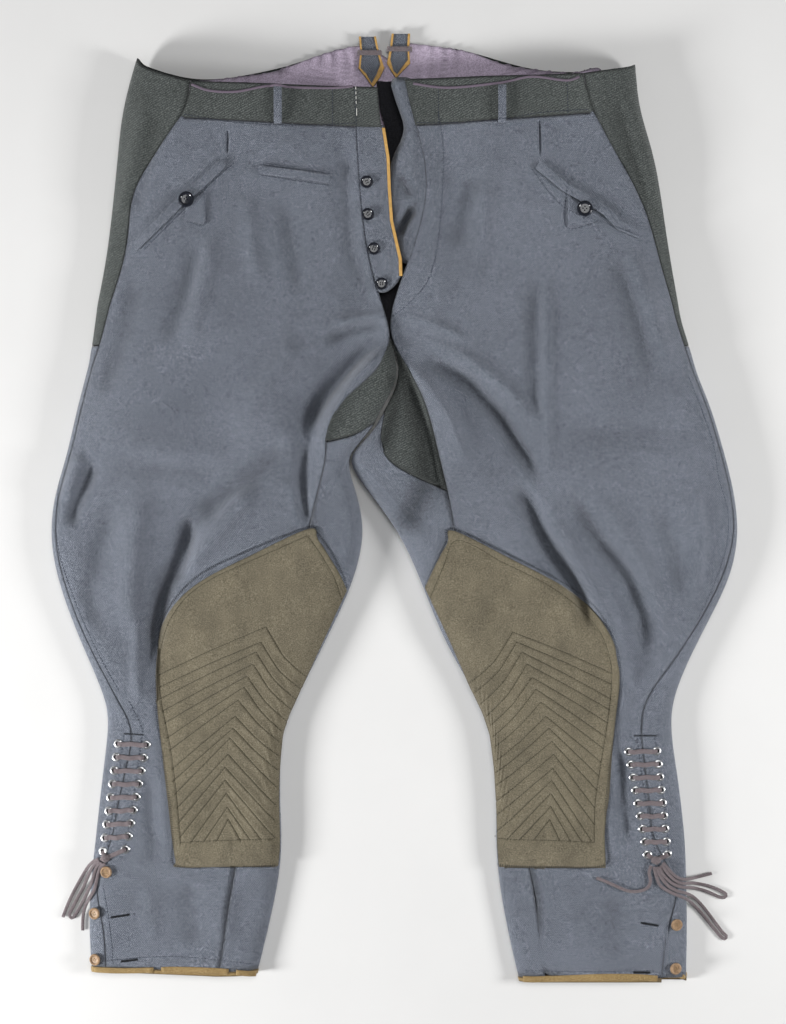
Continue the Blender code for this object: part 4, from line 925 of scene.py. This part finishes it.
# ---- small parts, each modelled once
def spun(title, profile, corners=24):
    """A round part: a circle drawn out ring by ring to the next radius and height of its profile."""
    bpy.ops.object.select_all(action="DESELECT")
    bpy.ops.mesh.primitive_circle_add(vertices=corners, radius=profile[0][0] * MM, location=(0, 0, 0))
    part = bpy.context.object
    part.name = title
    bpy.ops.object.mode_set(mode="EDIT")
    bpy.ops.mesh.select_all(action="SELECT")
    bpy.ops.transform.translate(value=(0, 0, profile[0][1] * MM))
    for (radius, height), (next_radius, next_height) in zip(profile, profile[1:]):
        rise = (0, 0, (next_height - height) * MM)
        bpy.ops.mesh.extrude_region_move(TRANSFORM_OT_translate={"value": rise})
        bpy.ops.transform.resize(value=(next_radius / radius, next_radius / radius, 1.0),
                                 center_override=(0, 0, next_height * MM))
    bpy.ops.mesh.select_all(action="SELECT")
    bpy.ops.mesh.normals_make_consistent(inside=False)
    bpy.ops.object.mode_set(mode="OBJECT")
    select_only(part)
    bpy.ops.object.transform_apply(location=True, rotation=True, scale=True)
    bpy.ops.object.shade_smooth_by_angle(angle=math.radians(35))
    return part


# A button's section, as shares of its radius and height
BUTTON_PROFILE = ((0.82, 0), (0.97, 0.3), (1, 0.55), (0.95, 0.85), (0.82, 1), (0.66, 0.86), (0.58, 0.62))


def four_hole_button(title, radius, height, finish):
    """A button turned from a disc: a raised rim, a dished middle and four holes."""
    profile = [(radius * wide, height * high) for wide, high in BUTTON_PROFILE]
    part = spun(title, ((0.3, 0), *profile, (0.3, height * 0.56)), 32)
    bpy.ops.object.mode_set(mode="EDIT")
    bpy.ops.mesh.select_all(action="DESELECT")
    bpy.ops.mesh.select_non_manifold()
    bpy.ops.mesh.edge_face_add()
    bpy.ops.object.mode_set(mode="OBJECT")
    for x, y in ((1, 1), (1, -1), (-1, 1), (-1, -1)):
        bpy.ops.object.select_all(action="DESELECT")
        spread = radius * 0.17 * MM
        bpy.ops.mesh.primitive_cylinder_add(vertices=10, radius=radius * 0.095 * MM, depth=height * 3 * MM,
                                            location=(x * spread, y * spread, 0))
        drill = bpy.context.object
        cut = part.modifiers.new("Hole", "BOOLEAN")
        cut.operation = "DIFFERENCE"
        cut.object = drill
        apply_all(part)
        bpy.data.objects.remove(drill)
    part.data.materials.append(finish)
    return part


def joined(pieces, title):
    """Several pieces made into one."""
    select_only(*pieces)
    if len(pieces) > 1:
        bpy.ops.object.join()
    piece = bpy.context.view_layer.objects.active
    piece.name = title
    return piece


def set_out(template, title, finish, places, slot, *nodes):
    """Copies of one part at each place, each with its own mesh, joined into one piece."""
    pieces = []
    for place in places:
        mesh = template.data.copy()
        mesh.transform(place)
        piece = bpy.data.objects.new(title, mesh)
        bpy.context.scene.collection.objects.link(piece)
        pieces.append(piece)
    piece = joined(pieces, title)
    piece.data.materials.clear()
    piece.data.materials.append(finish)
    return dressed(piece, slot, *nodes)


def seat(x, y, lift_mm=0.0, heading=None):
    """The matrix that sets a part on the cloth at a place, its own X along the heading."""
    point, normal = on_top(x, y)
    ahead = Vector((heading[0], heading[1], 0)) if heading else Vector((1, 0, 0))
    ahead = (ahead - normal * ahead.dot(normal)).normalized()
    aside = normal.cross(ahead).normalized()
    matrix = Matrix((ahead, aside, normal)).transposed().to_4x4()
    matrix.translation = point + normal * lift_mm * MM
    return matrix


# One stitch: a short thread that swells in its middle and dips at its ends
bpy.ops.object.select_all(action="DESELECT")
bpy.ops.mesh.primitive_cylinder_add(vertices=6, radius=0.34 * MM, depth=1.5 * MM, end_fill_type="NGON",
                                    rotation=(0, math.radians(90), 0))
STITCH = bpy.context.object
STITCH.name = "stitch"
bpy.ops.object.transform_apply(location=True, rotation=True, scale=True)
for way in (1, -1):
    bpy.ops.object.mode_set(mode="EDIT")
    bpy.ops.mesh.select_all(action="DESELECT")
    bpy.ops.object.mode_set(mode="OBJECT")
    for face in STITCH.data.polygons:
        face.select = face.normal.x * way > 0.9
    bpy.ops.object.mode_set(mode="EDIT")
    bpy.ops.mesh.extrude_region_move(TRANSFORM_OT_translate={"value": (way * 0.6 * MM, 0, -0.28 * MM)})
    bpy.ops.transform.resize(value=(1, 0.4, 0.4), center_override=(way * 1.35 * MM, 0, -0.28 * MM))
    bpy.ops.object.mode_set(mode="OBJECT")
STITCH.data.shade_smooth()


def sew(title, finish, slot, lines, pitch=3.4, scale=1.0, turn=0.0, lift=0.12, slim=1.0):
    """A row of stitches along each line of the view, on whatever cloth lies on top there."""
    places = []
    for line in lines:
        points = evenly([Vector((*at(*place), 0)) for place in line], pitch * MM)
        for a, b in zip(points, points[1:]):
            middle = (a + b) / 2
            ahead = Matrix.Rotation(math.radians(turn), 3, "Z") @ (b - a)
            matrix = seat(middle.x, middle.y, lift, (ahead.x, ahead.y))
            places.append(matrix @ Matrix.Diagonal((scale, slim, slim, 1.0)))
    return set_out(STITCH, title, finish, places, slot)


# ---- buttons
def cad_place(name):
    """Centre and upward axis of a button of the CAD."""
    points = coordinates(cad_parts[name].data)
    centre = points.mean(0)
    normal = np.linalg.svd(points - centre)[2][2]
    normal = Vector(normal if normal[2] > 0 else -normal)
    heights = (points - centre) @ np.array(normal)
    return Vector(centre), normal, heights.min(), heights.max()


def set_button(name, template, finish, slot, turn):
    """A button where the CAD has it, on its axis, with the two threads that hold it."""
    centre, normal, low, high = cad_place(name)
    ahead = (Vector((math.cos(turn), math.sin(turn), 0)))
    ahead = (ahead - normal * ahead.dot(normal)).normalized()
    matrix = Matrix((ahead, normal.cross(ahead), normal)).transposed().to_4x4()
    rise = relief(np.array([centre.x]), np.array([centre.y]))[0]
    matrix.translation = centre + normal * low + Vector((0, 0, max(rise, 0.0)))
    set_out(template, f"{name}_turned", finish, [matrix], slot, name)
    long_stitch = Matrix.Diagonal((1.15, 1.0, 1.0, 1.0))
    holes = [matrix @ Matrix.Translation((0, y * 1.25 * MM, 1.75 * MM)) @ long_stitch for y in (1, -1)]
    set_out(STITCH, f"{name}_thread", DARK_THREAD if finish is BLACK else TAN_THREAD, holes, slot)


fly_button = four_hole_button("fly_button", 6.6, 3.0, BLACK)
hip_button = four_hole_button("hip_button", 8.2, 3.6, BLACK)
calf_button = four_hole_button("calf_button", 6.2, 3.2, HORN)
for number in range(1, 5):
    set_button(f"fly_button_{number}", fly_button, BLACK, "black_button", 0.4 * number)
for side in ("l", "r"):
    set_button(f"pocket_button_{side}", hip_button, BLACK, "black_button", 0.7)
for number, place in enumerate(("l1", "l2", "l3", "r1", "r2")):
    set_button(f"leg_button_{place}", calf_button, HORN, "horn_button", 0.5 * number)

# ---- eyelets and the crossed lace: the outer and the inner column's first and last eyelet, then
# the knot, in the pattern's millimetres
LACING = {
    "l": ((-289.3, 253.0), (-305.6, 139.7), (-259.9, 252.0), (-281.9, 142.3), (-303.0, 133.0)),
    "r": ((274.6, 245.2), (286.1, 136.5), (245.2, 244.7), (265.1, 136.5), (273.9, 131.0)),
}
EYELET_ROWS = 9
EYELET_PROFILE = ((2.15, -0.9), (2.2, 0.35), (2.6, 0.95), (3.4, 1.15), (4.3, 0.85), (4.8, 0.25), (4.7, -0.3))
SHADOW_PROFILE = ((2.25, 0.32), (1.4, 0.28), (0.2, 0.27))
BAR_WIDTH = 5.0
LAST_BAR_WIDTH = 4.6
BAR_THICKNESS = 1.0
BAR_STEP = 0.9
# The knot's turns: lean and turn in degrees, and size
KNOT_TURNS = ((64, 20, 1.0), (68, 100, 0.94), (20, 60, 0.8), (75, 150, 0.86))
KNOT_LIFT = 2.6
UP = Vector((0, 0, 1))

eyelet = spun("eyelet", EYELET_PROFILE, 20)
# A near-black disc just above the cloth in each eyelet's barrel: painted shadow of the hole
shadow = spun("eyelet_shadow", SHADOW_PROFILE, 12)


def column(first, last, row):
    """The place of one eyelet of a column."""
    share = row / (EYELET_ROWS - 1)
    return sewn_at(first[0] + (last[0] - first[0]) * share, first[1] + (last[1] - first[1]) * share)


def bar(points, run, width, narrow):
    """A short length of lace through the points, its broad side kept level across its run."""
    line = evenly(points, BAR_STEP * MM)
    return ribbon("bar", line, width * MM, BAR_THICKNESS * MM, LACE, run.cross(UP), narrow)


def cross_bar(row, start, end):
    """The lace from one eyelet over to the other of its row."""
    (a, a_up), (b, b_up) = on_top(*start), on_top(*end)
    run = (b - a).normalized()
    sway = Vector((0, (0.5 if row % 2 else -0.4) * MM, 0))
    middle = on_top(*((a + b) / 2).xy)[0]
    points = [
        a - a_up * 0.8 * MM - run * 0.6 * MM, a + a_up * 0.9 * MM, a + a_up * 1.9 * MM + run * 2.4 * MM,
        a + a_up * 1.5 * MM + run * 6 * MM + sway,
        Vector((*((a + b) / 2).xy, max(middle.z, (a.z + b.z) / 2) + 1.3 * MM)) - sway,
        b + b_up * 1.5 * MM - run * 6 * MM + sway, b + b_up * 1.9 * MM - run * 2.4 * MM,
        b + b_up * 0.9 * MM, b - b_up * 0.8 * MM + run * 0.6 * MM]
    return bar(points, run, BAR_WIDTH, lambda share: 0.72 + 0.28 * min(1.0, min(share, 1 - share) * 5.5))


def last_bar(hole, knot):
    """The lace from one of the last eyelets to the knot."""
    point, up = on_top(*hole)
    run = (knot.xy - point.xy).normalized().to_3d()
    between = (point.xy + knot.xy) / 2
    middle, end = on_top(*between)[0], on_top(*knot.xy)[0]
    points = [
        point - up * 0.8 * MM - run * 0.5 * MM, point + up * 1.0 * MM, point + up * 1.8 * MM + run * 2.2 * MM,
        Vector((*between, middle.z + 1.5 * MM)), end + Vector((0, 0, 2.4 * MM))]
    return bar(points, run, LAST_BAR_WIDTH, lambda share: 0.75 + 0.25 * min(1.0, share * 5))


def knot_turn(middle, lean, turn, size):
    """One turn of the knot: a ring, drawn long and leant over."""
    bpy.ops.object.select_all(action="DESELECT")
    bpy.ops.mesh.primitive_torus_add(major_segments=28, minor_segments=10, major_radius=3.0 * size * MM,
                                     minor_radius=1.5 * MM, location=middle,
                                     rotation=(math.radians(lean), 0, math.radians(turn)))
    wrap = bpy.context.object
    bpy.ops.object.mode_set(mode="EDIT")
    bpy.ops.mesh.select_all(action="SELECT")
    bpy.ops.transform.resize(value=(1.25, 1.05, 0.82), center_override=middle)
    bpy.ops.object.mode_set(mode="OBJECT")
    select_only(wrap)
    bpy.ops.object.transform_apply(location=True, rotation=True, scale=True)
    wrap.data.materials.append(LACE)
    wrap.data.shade_smooth()
    return wrap


for side, (edge_first, edge_last, front_first, front_last, knot_at) in LACING.items():
    holes = [(column(edge_first, edge_last, row), column(front_first, front_last, row))
             for row in range(EYELET_ROWS)]
    places = [seat(*place) for pair in holes for place in pair]
    set_out(eyelet, f"eyelets_{side}", EYELET, places, "lace")
    set_out(shadow, f"eyelet_shadows_{side}", HOLE_SHADOW, places, "lace")
    knot = Vector((*sewn_at(*knot_at), 0))
    bars = [cross_bar(row, *pair) for row, pair in enumerate(holes[:-1])]
    bars += [last_bar(hole, knot) for hole in holes[-1]]
    dressed(joined(bars, f"lacing_{side}_flat"), "lace", f"lacing_{side}")
    middle = on_top(*knot.xy)[0] + Vector((0, 0, KNOT_LIFT * MM))
    wraps = [knot_turn(middle, *turn) for turn in KNOT_TURNS]
    dressed(joined(wraps, f"lace_knot_{side}_tied"), "lace", f"lace_knot_{side}")

# ---- sewing, as lines in the view
TOPSTITCH = {
    "l": (
        ((355, 90), (357, 137), (359, 174), (363, 218), (369, 261), (377, 293), (388, 315)),
        ((130, 700), (142, 725), (143, 734), (135, 790), (126, 848)),
        ((125, 734), (117, 790), (108, 846)),
        ((103, 884), (108, 912), (112, 944), (113, 962)),
        ((106, 960), (175, 956), (255, 964)),
        ((229.5, 134), (228.5, 156)),
        ((206, 196), (207, 227), (188, 224)),
        ((236, 166), (222, 178), (188, 211), (146, 253)),
        ((260, 167), (331, 176)), ((262, 178), (330, 188)),
        ((333, 92), (333, 131)),
        ((60, 480), (58, 540), (76, 600), (98, 650), (120, 690)),
        ((186, 119), (240, 127), (300, 129), (356, 126)),
    ),
    "r": (
        ((438, 115), (443, 158), (439, 233), (429, 279), (410, 303), (392, 317)),
        ((687, 378), (710, 439), (717, 479), (726, 512), (724.5, 548), (710, 590), (696, 619)),
        ((654, 737), (663, 800), (668, 850)),
        ((636, 737), (645, 800), (655, 852)),
        ((524, 970), (590, 971), (655, 970)),
        ((538, 124), (538.5, 158)),
        ((565, 190), (565, 230), (597, 224)),
        ((530, 172), (548, 196), (568, 214), (600, 225), (640, 240)),
        ((438, 90), (438, 127)), ((565, 86), (566, 118)),
        ((416, 126), (440, 126), (499, 124), (538, 117), (586, 114)),
    ),
}
OVERCAST = {
    "l": ((276, 865), (228, 866), (176, 864), (174, 840), (170, 800), (163, 750), (157, 712), (158, 668),
          (159, 640),
          (166, 613), (197, 577), (250, 550), (309, 527), (318, 533), (332, 552), (343, 575), (347, 588)),
    "r": ((497, 865), (548, 866), (604, 864), (606, 840), (605, 805), (610, 755), (616, 712), (618, 668),
          (614, 645),
          (598, 612), (572, 588), (520, 560), (453, 529), (445, 543), (432, 570), (425, 586)),
}
BUTTONHOLES = {
    "l": (((111, 917), (130, 914)), ((121, 961), (138, 959))),
    "r": (((640, 922), (658, 925)), ((633, 972), (650, 972))),
}
BARS = {"l": ((124, 733), (145, 734)), "r": ((633, 735), (656, 735))}

for side in ("l", "r"):
    sew(f"topstitch_{side}", BLUE_THREAD, "wool", TOPSTITCH[side])
    rows = [quilt_row(side, number) for number in range(ROWS)]
    arms = [row[:3] for row in rows] + [row[2:] for row in rows]
    edge_line = PATCH_STITCH[side]
    border = [edge_line[:PATCH_CORNER + 1], edge_line[PATCH_CORNER:], PATCH_FOOT_STITCH[side]]
    sew(f"quilt_stitch_{side}", MOSS_THREAD, "suede", arms + border, 3.0, 1.15, lift=0.02, slim=0.72)
    sew(f"patch_overcast_{side}", DARK_THREAD, "suede", [OVERCAST[side]], 2.3, 1.2, 78)
    sew(f"opening_bar_{side}", DARK_THREAD, "wool", [BARS[side]], 1.3, 0.9, 84)
    slits = []
    for (ax, ay), (bx, by) in BUTTONHOLES[side]:
        slits += [((ax, ay + lip), (bx, by + lip)) for lip in (-0.7, 0.7)]
    sew(f"buttonhole_{side}", DARK_THREAD, "wool", slits, 1.1, 0.55, 88)
    # The slit is a row of near-black stitches: painted shadow in the buttonhole
    sew(f"buttonhole_slit_{side}", HOLE_SHADOW, "wool", BUTTONHOLES[side], 2.4, 1.1, lift=0.3)
BASTING = (((356, 89), (356.5, 108)), ((357, 112), (357, 118)))
sew("basting", WHITE_THREAD, "twill", BASTING, 6.5, 1.3, lift=0.4)


# ---- strips that stand on the cloth: piping, hem tape and the fly's upper edge
def strip(title, finish, slot, line, width, thickness, lift):
    """A narrow strip along a line of the view, on the cloth."""
    flat = evenly([Vector((*at(*place), 0)) for place in line], 5 * MM)
    points = [Vector((point.x, point.y, max(on_top(point.x, point.y)[0].z + lift * MM, thickness / 2 * MM)))
              for point in flat]
    piece = ribbon(title, evenly(points, 2 * MM), width * MM, thickness * MM, finish)
    return dressed(piece, slot)


# Width, thickness and lift in millimetres, and each strip's line
STRIPS = (
    ("waist_piping_l", PIPING, "lining", 2.6, 1.6, 0.4,
     ((194, 89.5), (211, 95.5), (238, 96.5), (270, 90.5), (298, 91.5), (333, 91.5), (362, 89))),
    ("waist_piping_r", PIPING, "lining", 2.6, 1.6, 0.4,
     ((413, 87), (449, 91.5), (499, 87.5), (530, 81.5), (564, 85.5), (577, 82))),
    ("hem_tape_l", BINDING, "binding", 6.0, 1.6, 0.3,
     ((91.5, 969.5), (130, 970), (175, 969), (220, 970.5), (256, 974))),
    ("hem_tape_r", BINDING, "binding", 6.6, 1.6, 0.3,
     ((523, 979), (560, 978), (600, 976.5), (633, 976.5), (657, 978))),
    ("hem_tape_back_r", BINDING, "binding", 5.0, 1.4, 0.2, ((663, 978), (688, 977))),
    ("fly_edge_top", LEATHER, "leather", 3.4, 1.4, 0.6, ((383.5, 108), (385, 116), (387, 128))),
)
for title, finish, slot, width, thickness, lift, line in STRIPS:
    strip(title, finish, slot, line, width, thickness, lift)

# The inside of the waist, seen between the two fly edges, as a near-black sheet whose colour is painted
# shade: its sides as rows and columns
INSIDE_LEFT = ((80, 110, 130, 168, 280, 342), (376, 380, 386, 386, 379, 385))
INSIDE_RIGHT = ((80, 92, 105, 130, 150, 168, 280, 342), (398, 410, 414, 421, 415, 404, 399, 393))
INSIDE_HEIGHT = 8.0
bpy.ops.object.select_all(action="DESELECT")
bpy.ops.mesh.primitive_grid_add(x_subdivisions=10, y_subdivisions=60, size=1.0, location=(0, 0, 0))
inside = bpy.context.object
inside.name = "fly_inside"
for vert in inside.data.vertices:
    across, down = vert.co.x + 0.5, 0.5 - vert.co.y
    row = INSIDE_LEFT[0][0] + (INSIDE_LEFT[0][-1] - INSIDE_LEFT[0][0]) * down
    left, right = np.interp(row, *INSIDE_LEFT), np.interp(row, *INSIDE_RIGHT)
    x, y = at(left + (right - left) * across, row)
    wave = 1.6 * math.sin(9 * across + 5 * down) + 1.2 * math.sin(17 * down - 4 * across)
    vert.co = (x, y, (INSIDE_HEIGHT + wave) * MM)
inside.data.update()
wall = inside.modifiers.new("Cloth", "SOLIDIFY")
wall.thickness = 0.8 * MM
soft = inside.modifiers.new("Subdivision", "SUBSURF")
soft.levels = soft.render_levels = 2
apply_all(inside)
inside.data.materials.append(INSIDE_SHADE)
inside.data.shade_smooth()
dressed(inside, "lining")

for pattern in (STITCH, fly_button, hip_button, calf_button, eyelet, shadow):
    bpy.data.objects.remove(pattern)


# ---- stage
bpy.ops.object.select_all(action="DESELECT")
bpy.ops.mesh.primitive_plane_add(size=6.0, location=(0, 0, -0.0006))
floor = bpy.context.object
floor.name = "floor"
floor_finish = plain("floor_paper", (0.785, 0.78, 0.77), 0.7, 0.015, 160.0, 0.02)
floor.data.materials.append(floor_finish)


# Square lights that face the middle of the floor: place and side in metres, power in watts
LIGHTS = (
    ("left_window", (-1.9, -0.75, 0.8), 0.5, 55),
    ("right_window", (1.8, -0.3, 0.9), 0.5, 27),
    ("ceiling", (0.2, 0.7, 2.6), 1.2, 20),
)
for name, place, wide, power in LIGHTS:
    data = bpy.data.lights.new(name, "AREA")
    data.shape = "RECTANGLE"
    data.size = data.size_y = wide
    data.energy = power
    lamp = bpy.data.objects.new(name, data)
    bpy.context.scene.collection.objects.link(lamp)
    lamp.location = place
    lamp.rotation_euler = (-Vector(place)).to_track_quat("-Z", "Y").to_euler()

world = bpy.data.worlds.new("room")
bpy.context.scene.world = world
world.use_nodes = True
background = world.node_tree.nodes["Background"]
background.inputs["Color"].default_value = (0.95, 0.97, 1.0, 1.0)
background.inputs["Strength"].default_value = 0.145
